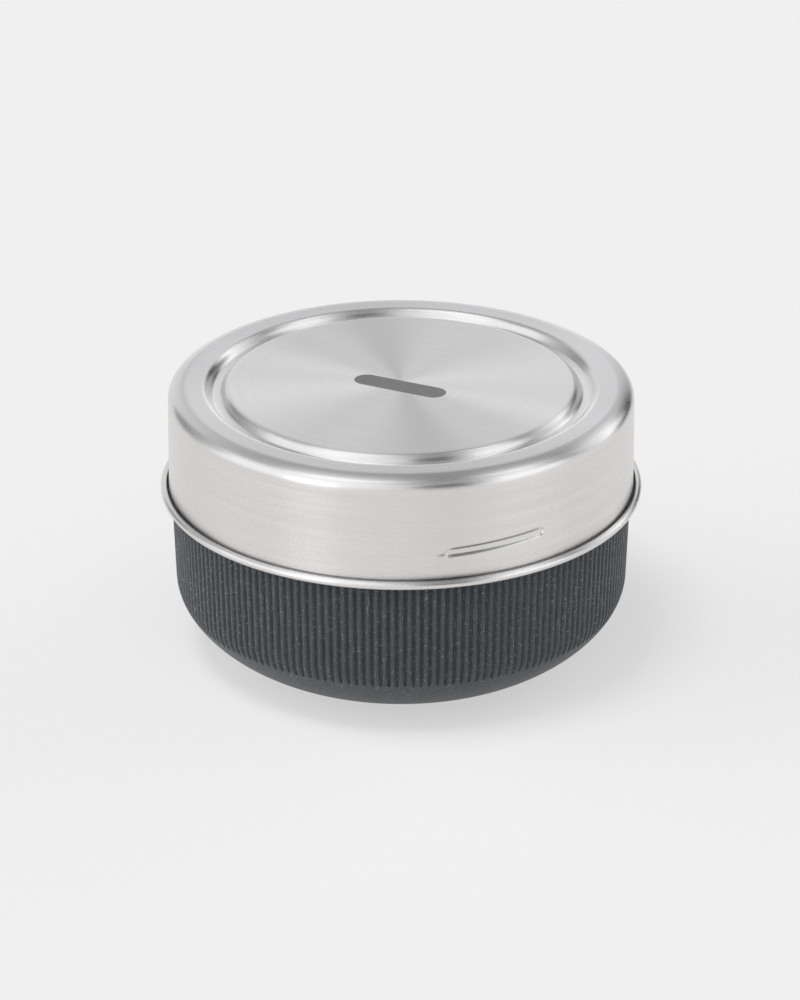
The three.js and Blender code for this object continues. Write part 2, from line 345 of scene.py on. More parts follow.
class Wiring:
    """Adds nodes to one tree and joins their sockets."""

    # A Mix node repeats its socket names for each kind of value, so its colours go by number.
    MIX_SHARE = 0
    MIX_FIRST = 6
    MIX_SECOND = 7
    MIX_RESULT = 2

    def __init__(self, tree: bpy.types.NodeTree) -> None:
        """Keeps the tree to add to."""
        self.tree = tree

    def add(self, kind: str, **settings: object) -> bpy.types.Node:
        """Adds a node.

        Args:
            kind: Its type.
            **settings: Values of its own properties.

        Returns:
            The node.
        """
        node = self.tree.nodes.new(kind)
        for name, value in settings.items():
            setattr(node, name, value)
        return node

    def feed(self, socket: bpy.types.NodeSocket, value: Feed) -> None:
        """Links a socket to another one, or sets its value.

        Args:
            socket: The input to feed.
            value: An output to link to it, or a value to set on it.
        """
        if isinstance(value, bpy.types.NodeSocket):
            self.tree.links.new(value, socket)
        else:
            socket.default_value = value

    def maths(self, operation: str, *values: Feed) -> bpy.types.NodeSocket:
        """A sum of one or more values.

        Args:
            operation: The kind of sum.
            *values: What goes in.

        Returns:
            The result.
        """
        node = self.add("ShaderNodeMath", operation=operation)
        for socket, value in zip(node.inputs, values):
            self.feed(socket, value)
        return node.outputs["Value"]

    def remap(
        self, value: Feed, old: Span, new: tuple[Feed, Feed], soft: bool = False
    ) -> bpy.types.NodeSocket:
        """A value moved from one range to another and kept inside it.

        Args:
            value: What goes in.
            old: The range that it has.
            new: The range that it gets.
            soft: Whether the ends of the range are eased.

        Returns:
            The result.
        """
        node = self.add("ShaderNodeMapRange", interpolation_type="SMOOTHSTEP" if soft else "LINEAR")
        for socket, number in zip(node.inputs, (value, *old, *new)):
            self.feed(socket, number)
        return node.outputs["Result"]

    def blend(self, share: Feed, first: Feed, second: Feed) -> bpy.types.NodeSocket:
        """A mix of two colours.

        Args:
            share: How much of the second colour shows.
            first: The first colour.
            second: The second colour.

        Returns:
            The mixed colour.
        """
        node = self.add("ShaderNodeMix", data_type="RGBA")
        self.feed(node.inputs[self.MIX_SHARE], share)
        self.feed(node.inputs[self.MIX_FIRST], first)
        self.feed(node.inputs[self.MIX_SECOND], second)
        return node.outputs[self.MIX_RESULT]

    def noise(
        self, position: Feed, scale: Feed, detail: float, roughness: float
    ) -> bpy.types.NodeSocket:
        """Soft noise from 0 to 1.

        Args:
            position: Where it is read.
            scale: How close its lumps lie.
            detail: How many finer layers it has.
            roughness: How strong the finer layers are.

        Returns:
            Its value.
        """
        node = self.add("ShaderNodeTexNoise")
        self.feed(node.inputs["Vector"], position)
        self.feed(node.inputs["Scale"], scale)
        node.inputs["Detail"].default_value = detail
        node.inputs["Roughness"].default_value = roughness
        return node.outputs[0]

    def group(self, tree: bpy.types.NodeTree, **values: Feed) -> bpy.types.Node:
        """Places a shared group.

        Args:
            tree: The group.
            **values: What goes into its inputs, by name.

        Returns:
            The group's node.
        """
        node = self.add("ShaderNodeGroup", node_tree=tree)
        for name, value in values.items():
            self.feed(node.inputs[name], value)
        return node

    def bump(self, height: Feed, depth: float, strength: float) -> bpy.types.NodeSocket:
        """A normal from a height.

        Args:
            height: The height, from 0 to 1.
            depth: What a height of 1 stands for.
            strength: How much of it shows.

        Returns:
            The normal.
        """
        node = self.add("ShaderNodeBump")
        self.feed(node.inputs["Height"], height)
        node.inputs["Distance"].default_value = depth
        node.inputs["Strength"].default_value = strength
        return node.outputs["Normal"]


class SurfaceEffects:
    """Shader groups that more than one finish uses."""

    # Detail and roughness of each noise.
    STREAK_LAYERS = (3.0, 0.6)
    DRIFT_LAYERS = (2.0, 0.5)
    SHADE_LAYERS = (4.0, 0.6)
    PITTING_LAYERS = (2.0, 0.55)
    # How closely the drift lies beside the streaks, round the axis and across the lines.
    DRIFT_SCALE = (0.14, 0.14, 0.12)
    # How closely the change of shade lies beside the pitting.
    SHADE_SCALE = 0.06

    def __init__(self) -> None:
        """Builds each group once."""
        self.grain = self._brushed_grain()
        self.mottle = self._mottle()

    @staticmethod
    def _group(name: str, inputs: Sequence[tuple[str, str]], outputs: Sequence[str]) -> Wiring:
        """Starts a group with named sockets.

        Args:
            name: The group's name.
            inputs: Name and socket type of each input.
            outputs: Name of each output, all of them values.

        Returns:
            The wiring of the new group.
        """
        tree = bpy.data.node_groups.new(name, "ShaderNodeTree")
        for label, kind in inputs:
            tree.interface.new_socket(label, in_out="INPUT", socket_type=kind)
        for label in outputs:
            tree.interface.new_socket(label, in_out="OUTPUT", socket_type="NodeSocketFloat")
        return Wiring(tree)

    def _brushed_grain(self) -> bpy.types.NodeTree:
        """Lines that brushing on a lathe leaves: they run round the axis and vary across the sheet."""
        inputs = (
            ("Position", "NodeSocketVector"),
            ("Lines", "NodeSocketFloat"),
            ("Run", "NodeSocketFloat"),
        )
        wiring = self._group("Brushed grain", inputs, ("Streak", "Drift", "Reach"))
        entry = wiring.add("NodeGroupInput")
        leave = wiring.add("NodeGroupOutput")
        split = wiring.add("ShaderNodeSeparateXYZ")
        wiring.feed(split.inputs["Vector"], entry.outputs["Position"])
        flat = wiring.add("ShaderNodeCombineXYZ")
        wiring.feed(flat.inputs["X"], split.outputs["X"])
        wiring.feed(flat.inputs["Y"], split.outputs["Y"])
        radius = wiring.add("ShaderNodeVectorMath", operation="LENGTH")
        wiring.feed(radius.inputs[0], flat.outputs["Vector"])
        wiring.feed(leave.inputs["Reach"], radius.outputs["Value"])
        round_way = wiring.add("ShaderNodeVectorMath", operation="NORMALIZE")
        wiring.feed(round_way.inputs[0], flat.outputs["Vector"])
        stretched = wiring.add("ShaderNodeVectorMath", operation="SCALE")
        wiring.feed(stretched.inputs[0], round_way.outputs["Vector"])
        wiring.feed(stretched.inputs["Scale"], entry.outputs["Run"])
        across = wiring.maths("SUBTRACT", radius.outputs["Value"], split.outputs["Z"])
        lines = wiring.maths("MULTIPLY", across, entry.outputs["Lines"])
        upright = wiring.add("ShaderNodeCombineXYZ")
        wiring.feed(upright.inputs["Z"], lines)
        place = wiring.add("ShaderNodeVectorMath", operation="ADD")
        wiring.feed(place.inputs[0], stretched.outputs["Vector"])
        wiring.feed(place.inputs[1], upright.outputs["Vector"])
        streak = wiring.noise(place.outputs["Vector"], 1.0, *self.STREAK_LAYERS)
        wiring.feed(leave.inputs["Streak"], streak)
        slow = wiring.add("ShaderNodeVectorMath", operation="MULTIPLY")
        wiring.feed(slow.inputs[0], place.outputs["Vector"])
        wiring.feed(slow.inputs[1], self.DRIFT_SCALE)
        drift = wiring.noise(slow.outputs["Vector"], 1.0, *self.DRIFT_LAYERS)
        wiring.feed(leave.inputs["Drift"], drift)
        return wiring.tree

    def _mottle(self) -> bpy.types.NodeTree:
        """The fine uneven skin of a moulding: a slow change of shade and a close pitting."""
        inputs = (("Position", "NodeSocketVector"), ("Fineness", "NodeSocketFloat"))
        wiring = self._group("Moulded skin", inputs, ("Shade", "Pitting"))
        entry = wiring.add("NodeGroupInput")
        leave = wiring.add("NodeGroupOutput")
        position = entry.outputs["Position"]
        fineness = entry.outputs["Fineness"]
        coarse = wiring.maths("MULTIPLY", fineness, self.SHADE_SCALE)
        shade = wiring.noise(position, coarse, *self.SHADE_LAYERS)
        wiring.feed(leave.inputs["Shade"], shade)
        pitting = wiring.noise(position, fineness, *self.PITTING_LAYERS)
        wiring.feed(leave.inputs["Pitting"], pitting)
        return wiring.tree


def start_material(
    name: str,
) -> tuple[bpy.types.Material, Wiring, bpy.types.Node, bpy.types.NodeSocket]:
    """Starts a material with one Principled shader.

    Args:
        name: The material's name.

    Returns:
        The material, its wiring, its shader and the position on the piece.
    """
    material = bpy.data.materials.new(name)
    material.use_nodes = True
    material.node_tree.nodes.clear()
    wiring = Wiring(material.node_tree)
    shader = wiring.add("ShaderNodeBsdfPrincipled")
    surface = wiring.add("ShaderNodeOutputMaterial")
    wiring.feed(surface.inputs["Surface"], shader.outputs["BSDF"])
    position = wiring.add("ShaderNodeTexCoord").outputs["Object"]
    return material, wiring, shader, position


@dataclass(frozen=True)
class SteelFinish:
    """Steel brushed on a lathe, smoother outside the radius from which the sheet is formed, and
    darkened where shade is painted.
    """

    name: str
    colour: Colour
    shade: Colour
    smoothest: float
    roughest: float
    anisotropy: float
    brushing: Brushing
    run: float = 7.0
    drift_share: float = 0.7
    line_turn: float = 0.25
    line_depth: float = 0.004 * MM
    line_strength: float = 0.5
    formed_from: float = 56 * MM
    formed_over: float = 3 * MM
    formed_share: float = 1.0
    # Near-black colour of the shade painted into the steel where the point attribute asks for it.
    shade_paint: Colour = (0.05, 0.048, 0.046, 1.0)

    def material(self, effects: SurfaceEffects) -> bpy.types.Material:
        """Builds the finish.

        Args:
            effects: The shared shader groups.

        Returns:
            The material.
        """
        material, wiring, shader, position = start_material(self.name)
        grain = wiring.group(effects.grain, Position=position, Lines=self.brushing.value, Run=self.run)
        streak = grain.outputs["Streak"]
        lined = wiring.maths("MULTIPLY", streak, 1 - self.drift_share)
        worn = wiring.maths("MULTIPLY_ADD", grain.outputs["Drift"], self.drift_share, lined)
        colour = wiring.blend(wiring.remap(worn, NOISE, FULL), self.shade, self.colour)
        # Painted shade: a point attribute blends the colour towards a near-black tone in the bead's
        # seam, along the lugs' walls and over the rim.
        shade_amount = wiring.add("ShaderNodeAttribute", attribute_name=PAINTED_SHADE).outputs["Fac"]
        wiring.feed(shader.inputs["Base Color"], wiring.blend(shade_amount, colour, self.shade_paint))
        roughness = wiring.remap(worn, NOISE, (self.smoothest, self.roughest))
        edges = (self.formed_from, self.formed_from + self.formed_over)
        formed = wiring.remap(grain.outputs["Reach"], edges, (1.0, self.formed_share), True)
        wiring.feed(shader.inputs["Roughness"], wiring.maths("MULTIPLY", roughness, formed))
        shader.inputs["Metallic"].default_value = 1.0
        shader.inputs["Anisotropic"].default_value = self.anisotropy
        shader.inputs["Anisotropic Rotation"].default_value = self.line_turn
        tangent = wiring.add("ShaderNodeTangent", direction_type="RADIAL", axis="Z")
        wiring.feed(shader.inputs["Tangent"], tangent.outputs["Tangent"])
        wiring.feed(shader.inputs["Normal"], wiring.bump(streak, self.line_depth, self.line_strength))
        return material


@dataclass(frozen=True)
class EtchedFinish:
    """Steel etched dull and dark."""

    name: str
    colour: Colour
    shade: Colour
    fineness: float = 5200.0
    roughness: Span = (0.5, 0.62)
    metal: float = 0.75
    pit_depth: float = 0.01 * MM
    pit_strength: float = 0.4

    def material(self, effects: SurfaceEffects) -> bpy.types.Material:
        """Builds the finish.

        Args:
            effects: The shared shader groups.

        Returns:
            The material.
        """
        material, wiring, shader, position = start_material(self.name)
        skin = wiring.group(effects.mottle, Position=position, Fineness=self.fineness)
        pitting = skin.outputs["Pitting"]
        wiring.feed(shader.inputs["Base Color"], wiring.blend(pitting, self.shade, self.colour))
        roughness = wiring.remap(skin.outputs["Shade"], NOISE, self.roughness)
        wiring.feed(shader.inputs["Roughness"], roughness)
        shader.inputs["Metallic"].default_value = self.metal
        wiring.feed(shader.inputs["Normal"], wiring.bump(pitting, self.pit_depth, self.pit_strength))
        return material


@dataclass(frozen=True)
class SlateFinish:
    """Slate plastic with a satin skin and fine pale specks moulded through it."""

    name: str
    colour: Colour
    shade: Colour
    speck: Colour
    fineness: float = 3800.0
    roughness: Span = (0.4, 0.52)
    gloss: float = 0.38
    pit_depth: float = 0.03 * MM
    pit_strength: float = 0.35
    speck_room: float = 0.46 * MM
    speck_draw: Span = (0.2, 1.0)
    speck_size: Span = (0.0, 0.55)
    speck_edge: float = 0.15
    speck_rarity: float = 2.4
    speck_paleness: Span = (0.08, 1.0)

    def material(self, effects: SurfaceEffects) -> bpy.types.Material:
        """Builds the finish.

        Args:
            effects: The shared shader groups.

        Returns:
            The material.
        """
        material, wiring, shader, position = start_material(self.name)
        skin = wiring.group(effects.mottle, Position=position, Fineness=self.fineness)
        pitting = skin.outputs["Pitting"]
        tone = wiring.remap(skin.outputs["Shade"], NOISE, FULL)
        ground = wiring.blend(tone, self.shade, self.colour)
        wiring.feed(shader.inputs["Base Color"], self._specks(wiring, position, ground))
        wiring.feed(shader.inputs["Roughness"], wiring.remap(pitting, NOISE, self.roughness))
        shader.inputs["Specular IOR Level"].default_value = self.gloss
        wiring.feed(shader.inputs["Normal"], wiring.bump(pitting, self.pit_depth, self.pit_strength))
        return material

    def _specks(self, wiring: Wiring, position: Feed, ground: Feed) -> bpy.types.NodeSocket:
        """Scatters pale specks over the ground colour.

        Args:
            wiring: The material's wiring.
            position: The position on the piece.
            ground: The colour between the specks.

        Returns:
            The speckled colour.
        """
        cells = wiring.add("ShaderNodeTexVoronoi", feature="F1")
        wiring.feed(cells.inputs["Vector"], position)
        cells.inputs["Scale"].default_value = 1 / self.speck_room
        draw = wiring.add("ShaderNodeSeparateColor")
        wiring.feed(draw.inputs["Color"], cells.outputs["Color"])
        size = wiring.remap(draw.outputs["Red"], self.speck_draw, self.speck_size)
        edge = wiring.maths("SUBTRACT", size, cells.outputs["Distance"])
        dot = wiring.remap(edge, (0.0, self.speck_edge), FULL, True)
        rare = wiring.maths("POWER", draw.outputs["Green"], self.speck_rarity)
        paleness = wiring.remap(rare, FULL, self.speck_paleness)
        return wiring.blend(wiring.maths("MULTIPLY", dot, paleness), ground, self.speck)


@dataclass(frozen=True)
class SiliconeFinish:
    """Matt silicone rubber."""

    name: str
    colour: Colour
    shade: Colour
    fineness: float = 2600.0
    roughness: Span = (0.5, 0.64)
    gloss: float = 0.4
    bloom: float = 0.08
    pit_depth: float = 0.02 * MM
    pit_strength: float = 0.3

    def material(self, effects: SurfaceEffects) -> bpy.types.Material:
        """Builds the finish.

        Args:
            effects: The shared shader groups.

        Returns:
            The material.
        """
        material, wiring, shader, position = start_material(self.name)
        skin = wiring.group(effects.mottle, Position=position, Fineness=self.fineness)
        pitting = skin.outputs["Pitting"]
        colour = wiring.blend(skin.outputs["Shade"], self.shade, self.colour)
        wiring.feed(shader.inputs["Base Color"], colour)
        wiring.feed(shader.inputs["Roughness"], wiring.remap(pitting, NOISE, self.roughness))
        shader.inputs["Specular IOR Level"].default_value = self.gloss
        shader.inputs["Sheen Weight"].default_value = self.bloom
        wiring.feed(shader.inputs["Normal"], wiring.bump(pitting, self.pit_depth, self.pit_strength))
        return material


class TurnedCopies:
    """A Geometry Nodes tree that sets copies of a wedge round the axis and welds them into one skin."""

    def __init__(self) -> None:
        """Builds the tree once."""
        self.tree = bpy.data.node_groups.new("Turned copies", "GeometryNodeTree")
        interface = self.tree.interface
        interface.new_socket("Wedge", in_out="INPUT", socket_type="NodeSocketGeometry")
        interface.new_socket("Copies", in_out="INPUT", socket_type="NodeSocketInt")
        interface.new_socket("Weld", in_out="INPUT", socket_type="NodeSocketFloat")
        interface.new_socket("Finish", in_out="INPUT", socket_type="NodeSocketMaterial")
        interface.new_socket("Skin", in_out="OUTPUT", socket_type="NodeSocketGeometry")
        wiring = Wiring(self.tree)
        entry = wiring.add("NodeGroupInput")
        leave = wiring.add("NodeGroupOutput")
        points = wiring.add("GeometryNodePoints")
        wiring.feed(points.inputs["Count"], entry.outputs["Copies"])
        index = wiring.add("GeometryNodeInputIndex")
        share = wiring.maths("DIVIDE", index.outputs["Index"], entry.outputs["Copies"])
        turn = wiring.add("ShaderNodeCombineXYZ")
        wiring.feed(turn.inputs["Z"], wiring.maths("MULTIPLY", share, math.tau))
        heading = wiring.add("FunctionNodeEulerToRotation")
        wiring.feed(heading.inputs["Euler"], turn.outputs["Vector"])
        copies = wiring.add("GeometryNodeInstanceOnPoints")
        wiring.feed(copies.inputs["Points"], points.outputs[0])
        wiring.feed(copies.inputs["Instance"], entry.outputs["Wedge"])
        wiring.feed(copies.inputs["Rotation"], heading.outputs["Rotation"])
        real = wiring.add("GeometryNodeRealizeInstances")
        wiring.feed(real.inputs["Geometry"], copies.outputs["Instances"])
        welded = wiring.add("GeometryNodeMergeByDistance")
        wiring.feed(welded.inputs["Geometry"], real.outputs["Geometry"])
        wiring.feed(welded.inputs["Distance"], entry.outputs["Weld"])
        dressed = wiring.add("GeometryNodeSetMaterial")
        wiring.feed(dressed.inputs["Geometry"], welded.outputs["Geometry"])
        wiring.feed(dressed.inputs["Material"], entry.outputs["Finish"])
        wiring.feed(leave.inputs["Skin"], dressed.outputs["Geometry"])

    def turn(self, wedge: bpy.types.Mesh, copies: int, finish: bpy.types.Material) -> bpy.types.Mesh:
        """Turns a wedge into a whole skin.

        Args:
            wedge: The wedge's mesh.
            copies: How many of it make a full turn.
            finish: The skin's material.

        Returns:
            The whole skin as a plain mesh.
        """
        holder = bpy.data.objects.new(wedge.name, wedge)
        bpy.context.scene.collection.objects.link(holder)
        modifier = holder.modifiers.new(self.tree.name, "NODES")
        modifier.node_group = self.tree
        values = {"Copies": copies, "Weld": WELD, "Finish": finish}
        for item in self.tree.interface.items_tree:
            if item.in_out == "INPUT" and item.name in values:
                modifier[item.identifier] = values[item.name]
        depsgraph = bpy.context.evaluated_depsgraph_get()
        skin = bpy.data.meshes.new_from_object(holder.evaluated_get(depsgraph))
        holder.modifiers.remove(modifier)
        bpy.data.objects.remove(holder)
        bpy.data.meshes.remove(wedge)
        return skin


def join_skins(skins: Sequence[bpy.types.Mesh]) -> bmesh.types.BMesh:
    """Welds several skins into one.

    Args:
        skins: The meshes, which are used up.

    Returns:
        The welded skin, open for more work.
    """
    joined = bmesh.new()
    for skin in skins:
        joined.from_mesh(skin)
        bpy.data.meshes.remove(skin)
    bmesh.ops.remove_doubles(joined, verts=joined.verts, dist=WELD)
    for face in joined.faces:
        face.material_index = 0
    return joined


def place_piece(
    label: Label, skin: bmesh.types.BMesh, finishes: Sequence[bpy.types.Material]
) -> bpy.types.Object:
    """Turns a finished skin into a piece that rides on its body in the node's place.

    Args:
        label: The piece's names.
        skin: Its skin, which is used up.
        finishes: Its materials, in the order of their numbers on the skin's faces.

    Returns:
        The piece.
    """
    for face in skin.faces:
        face.smooth = True
    mesh = bpy.data.meshes.new(label.piece)
    skin.to_mesh(mesh)
    skin.free()
    for finish in finishes:
        mesh.materials.append(finish)
    mesh.set_sharp_from_angle(angle=SHARP)
    piece = bpy.data.objects.new(label.piece, mesh)
    bpy.context.scene.collection.objects.link(piece)
    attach(piece, label.body.value)
    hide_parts(label.node)
    return piece


@dataclass(frozen=True)
class BowlCurve:
    """The curve from a bowl's foot up to its wall, which the outer and the inner bowl share."""

    height: float = 24.9 * MM
    wall_pull: float = 12.5 * MM
    foot_pull: float = 8.6 * MM
    steps: int = 44

    def spots(self, wall: float, foot: float, floor: float) -> list[Spot]:
        """Points of the curve.

        Args:
            wall: Radius at its upper end.
            foot: Radius at its lower end.
            floor: Height of its lower end.

        Returns:
            The points, from the foot up.
        """
        start = Vector((foot, floor))
        start_pull = Vector((foot + self.foot_pull, floor))
        end_pull = Vector((wall, self.height - self.wall_pull))
        end = Vector((wall, self.height))
        line = []
        for i in range(self.steps + 1):
            t = i / self.steps
            u = 1 - t
            spot = start * u**3 + start_pull * 3 * u * u * t + end_pull * 3 * u * t * t + end * t**3
            line.append((spot.x, spot.y))
        return line


@dataclass(frozen=True)
class Thread:
    """The lid's three lugs and the ramps on the neck that they slide under."""

    count: int = 3
    first: float = -67.0
    rise: float = 3.5 * MM
    flank: float = 0.45
    gap: float = 0.35 * MM
    lug_span: float = 26.0
    lug_height: float = 11.85 * MM
    lug_flat: float = 2.2 * MM
    lug_run_on: float = 6.0
    ramp_span: float = 72.0
    ramp_taper: float = 6.0
    ramp_lead: float = 6.0
    ramp_depth: float = 1.25 * MM
    ramp_crest: float = 1.6 * MM

    @property
    def wedge(self) -> float:
        """Degrees of the turn that each lug has to itself."""
        return 360.0 / self.count

    @property
    def lug_climb(self) -> float:
        """Degrees on each side of a lug's middle over which the skirt's rows climb with it."""
        return self.lug_span / 2 + self.lug_run_on

    def climb(self, offset: float, reach: float) -> float:
        """How far the thread has climbed.

        Args:
            offset: Degrees from the middle of a lug or a ramp.
            reach: Degrees over which it climbs, past which it comes back to meet the next one.

        Returns:
            The climb.
        """
        half = self.wedge / 2
        kept = clamp(offset, -reach, reach)
        share = clamp((half - abs(offset)) / (half - reach))
        return self.rise * math.radians(kept) * share


@dataclass(frozen=True)
class OuterBowl:
    """The moulded slate bowl: foot, ribbed wall, shoulder, and a neck with three thread ramps."""

    # Where the rows of a rib and a ramp lie, and the columns of a rib, as shares of their reach.
    RIB_TIP_ROWS = (0, 0.02, 0.06, 0.13, 0.24, 0.4, 0.65, 1)
    RIB_CURVE_ROWS = (0.3, 0.65, 1)
    RIB_WALL_ROWS = (0.03, 0.35, 0.68, 0.98)
    RIB_COLUMNS = (-1, -0.88, -0.76, -0.63, -0.5, -0.28, 0.28, 0.5, 0.63, 0.76, 0.88, 1)
    RAMP_ROWS = (0.04, 0.3, 0.6, 0.9, 0.97)
    # Columns at a ramp's ends, in degrees from its end.
    RAMP_ENDS = Spacing(first=1.0, step=-0.5, count=18)

    label: Label = Label("slate_bowl", "outer_bowl", Body.BOWL, "slate_plastic")
    finish: SlateFinish = SlateFinish(
        "Slate plastic",
        colour=(0.063, 0.073, 0.081, 1.0),
        shade=(0.052, 0.061, 0.068, 1.0),
        speck=(0.36, 0.37, 0.38, 1.0),
    )
    curve: BowlCurve = BowlCurve()
    thread: Thread = Thread()
    neck_radius: float = 74.6 * MM
    neck_wall: float = 2.2 * MM
    neck_height: float = 31.1 * MM
    neck_edge: float = 0.5 * MM
    neck_fillet: float = 0.3 * MM
    shoulder_width: float = 1.8 * MM
    shoulder_edge: float = 0.5 * MM
    body_height: float = 54.9 * MM
    wall_draft: float = 0.75 * MM
    foot_radius: float = 48 * MM
    foot_ring_width: float = 7 * MM
    foot_recess: float = 0.8 * MM
    foot_edge: float = 0.35 * MM
    floor_thickness: float = 2.4 * MM
    rib_count: int = 180
    rib_depth: float = 0.95 * MM
    rib_start: float = 18.0 * MM
    rib_fade: float = 2.2 * MM
    rib_flat: float = 0.26
    ramp_margin: float = 2 * MM
    ramp_apron: float = 0.9 * MM
    ramp_support: float = 0.12 * MM
    ramp_clear: float = 3 * MM
    ramp_sink: float = 0.25

    @property
    def wall_radius(self) -> float:
        """Radius of the rib crests at the shoulder."""
        return self.neck_radius + self.shoulder_width

    @property
    def cavity_radius(self) -> float:
        """Inside radius of the neck."""
        return self.neck_radius - self.neck_wall

    @property
    def neck_top(self) -> float:
        """Height of the neck's top edge."""
        return self.body_height + self.neck_height

    @property
    def floor_top(self) -> float:
        """Height of the floor inside."""
        return self.foot_recess + self.floor_thickness

    @property
    def plain_neck(self) -> Spot:
        """Heights between which the ramps stand on the neck."""
        return self.body_height + self.ramp_margin, self.neck_top - self.ramp_margin

    @property
    def rib_half(self) -> float:
        """Degrees from a rib's crest to the middle of the next groove."""
        return 180.0 / self.rib_count

    def build(self, turning: TurnedCopies, effects: SurfaceEffects) -> bpy.types.Object:
        """Makes the piece.

        Args:
            turning: The tree that turns wedges.
            effects: The shared shader groups.

        Returns:
            The piece.
        """
        finish = self.finish.material(effects)
        ribs = Wedge("one_rib")
        ribs.strip(self._outside_rows())
        ribs.strip(self._inside_rows())
        ramp = Wedge("one_ramp")
        ramp.strip(self._ramp_rows())
        skins = [
            turning.turn(ribs.mesh(), self.rib_count, finish),
            turning.turn(ramp.mesh(), self.thread.count, finish),
        ]
        return place_piece(self.label, join_skins(skins), [finish])

    def _outside_rows(self) -> list[Row]:
        """Rows of one rib's wedge, from the middle of the underside up to the foot of the neck."""
        edges = (-self.rib_half, self.rib_half)
        ring_inside = self.foot_radius - self.foot_ring_width
        under = rounded_run(
            [
                (0.0, self.foot_recess, 0.0),
                (ring_inside, self.foot_recess, self.foot_edge),
                (ring_inside, 0.0, self.foot_edge),
                (self.foot_radius, 0.0, 0.0),
            ]
        )
        curve = self.curve.spots(self.wall_radius - self.wall_draft, self.foot_radius, 0.0)
        bare = [spot for spot in curve[1:] if spot[1] < self.rib_start - HOLD]
        wall = [*curve, (self.wall_radius, self.body_height)]
        rows = plain_rows(edges, [*under, *bare])
        rows += [self._rib_row(radius_at(wall, z), z, self._rib_share(z)) for z in self._rib_heights()]
        top = self.body_height - self.shoulder_edge
        centre = Vector((radius_at(wall, top) - self.shoulder_edge, top))
        rows += [self._rib_row(r, z, 1.0) for r, z in arc(centre, self.shoulder_edge, 0.0, math.pi / 2)]
        ledge = rounded_run(
            [
                (centre.x - self.rib_depth - HOLD / 2, self.body_height, 0.0),
                (self.neck_radius, self.body_height, self.neck_fillet),
                (self.neck_radius, self.plain_neck[0], 0.0),
            ]
        )
        return rows + plain_rows(edges, ledge)

    def _rib_heights(self) -> list[float]:
        """Heights of the rows up the ribs, closest at their rounded lower ends."""
        tip = [self.rib_start + self.rib_fade * share for share in self.RIB_TIP_ROWS]
        curve = [lerp(tip[-1], self.curve.height, share) for share in self.RIB_CURVE_ROWS]
        top = self.body_height - self.shoulder_edge
        wall = [lerp(self.curve.height, top, share) for share in self.RIB_WALL_ROWS]
        return tip + curve + wall

    def _rib_share(self, height: float) -> float:
        """Share of the full groove width at a height, which grows in a quarter circle."""
        left = 1 - clamp((height - self.rib_start) / self.rib_fade)
        return math.sqrt(1 - left * left)

    def _rib_row(self, crest: float, height: float, share: float) -> Row:
        """A row across one rib, from the middle of a groove to the middle of the next.

        Args:
            crest: Radius of the rib's crest.
            height: Height of the row.
            share: Share of the full width that the grooves have here.

        Returns:
            The row.
        """
        half = self.rib_half
        groove = (1 - self.rib_flat) * share

        def at(angle: float) -> Spot:
            """Radius and height in a direction from the rib's crest."""
            along = clamp(abs(angle) / half)
            fall = ease(1 - (1 - along) / max(groove, WELD))
            return crest - self.rib_depth * share * fall, height

        return Row(tuple(half * offset for offset in self.RIB_COLUMNS), at)

    def _inside_rows(self) -> list[Row]:
        """Rows of one rib's wedge, from the upper neck over its edge and down inside to the floor."""
        edges = (-self.rib_half, self.rib_half)
        rim = rounded_run(
            [
                (self.neck_radius, self.plain_neck[1], 0.0),
                (self.neck_radius, self.neck_top, self.neck_edge),
                (self.cavity_radius, self.neck_top, self.neck_edge),
                (self.cavity_radius - self.wall_draft, self.curve.height, 0.0),
            ]
        )
        curve = self.curve.spots(self.cavity_radius - self.wall_draft, self.foot_radius, self.floor_top)
        return plain_rows(edges, [*rim, *reversed(curve[:-1]), (0.0, self.floor_top)])

    def _ramp_rows(self) -> list[Row]:
        """Rows of one ramp's wedge, up the neck from below the ramps to above them."""
        thread = self.thread
        middle = thread.first + thread.ramp_lead
        coarse = columns(middle, thread.wedge)
        ends = self.RAMP_ENDS.places(thread.ramp_span / 2)
        added = [*(middle + end for end in ends), *(middle - end for end in ends)]
        fine = tuple(sorted({*coarse, *added}))
        radius = self.neck_radius
        low, high = self.plain_neck
        crest = thread.ramp_crest / 2
        foot = crest + thread.flank * thread.ramp_depth
        offsets = [foot + self.ramp_apron, foot + self.ramp_support]
        offsets += [lerp(foot, crest, share) for share in self.RAMP_ROWS]
        offsets += [crest - self.ramp_support, crest / 2]
        rows = plain_rows(coarse, [(radius, low), (radius, low + self.ramp_clear)])
        rows += [self._ramp_row(fine, middle, -offset) for offset in offsets]
        rows += [self._ramp_row(fine, middle, offset) for offset in reversed(offsets)]
        return rows + plain_rows(coarse, [(radius, high - self.ramp_clear), (radius, high)])

    def _ramp_row(self, angles: tuple[float, ...], middle: float, offset: float) -> Row:
        """A row along a ramp.

        Args:
            angles: Its directions.
            middle: Direction of the ramp's middle.
            offset: How far it lies above the ramp's middle line.

        Returns:
            The row.
        """
        thread = self.thread
        lug_tip = self.neck_radius + thread.gap
        tip = self.neck_radius + thread.ramp_depth
        flats = (thread.lug_flat + thread.ramp_crest) / 2
        over_lug = thread.gap + thread.flank * (tip - lug_tip) + flats
        lead = thread.rise * math.radians(thread.ramp_lead)
        line = LidShell.BASE + thread.lug_height + over_lug + lead
        sunk = self.neck_radius - self.neck_wall * self.ramp_sink

        def at(angle: float) -> Spot:
            """Radius and height in a direction."""
            along = angle - middle
            share = clamp((thread.ramp_span / 2 - abs(along)) / thread.ramp_taper)
            flank = tip - max(abs(offset) - thread.ramp_crest / 2, 0.0) / thread.flank
            radius = max(self.neck_radius, min(lerp(sunk, tip, share), flank))
            return radius, line + offset + thread.climb(along, thread.ramp_span / 2)

        return Row(angles, at)


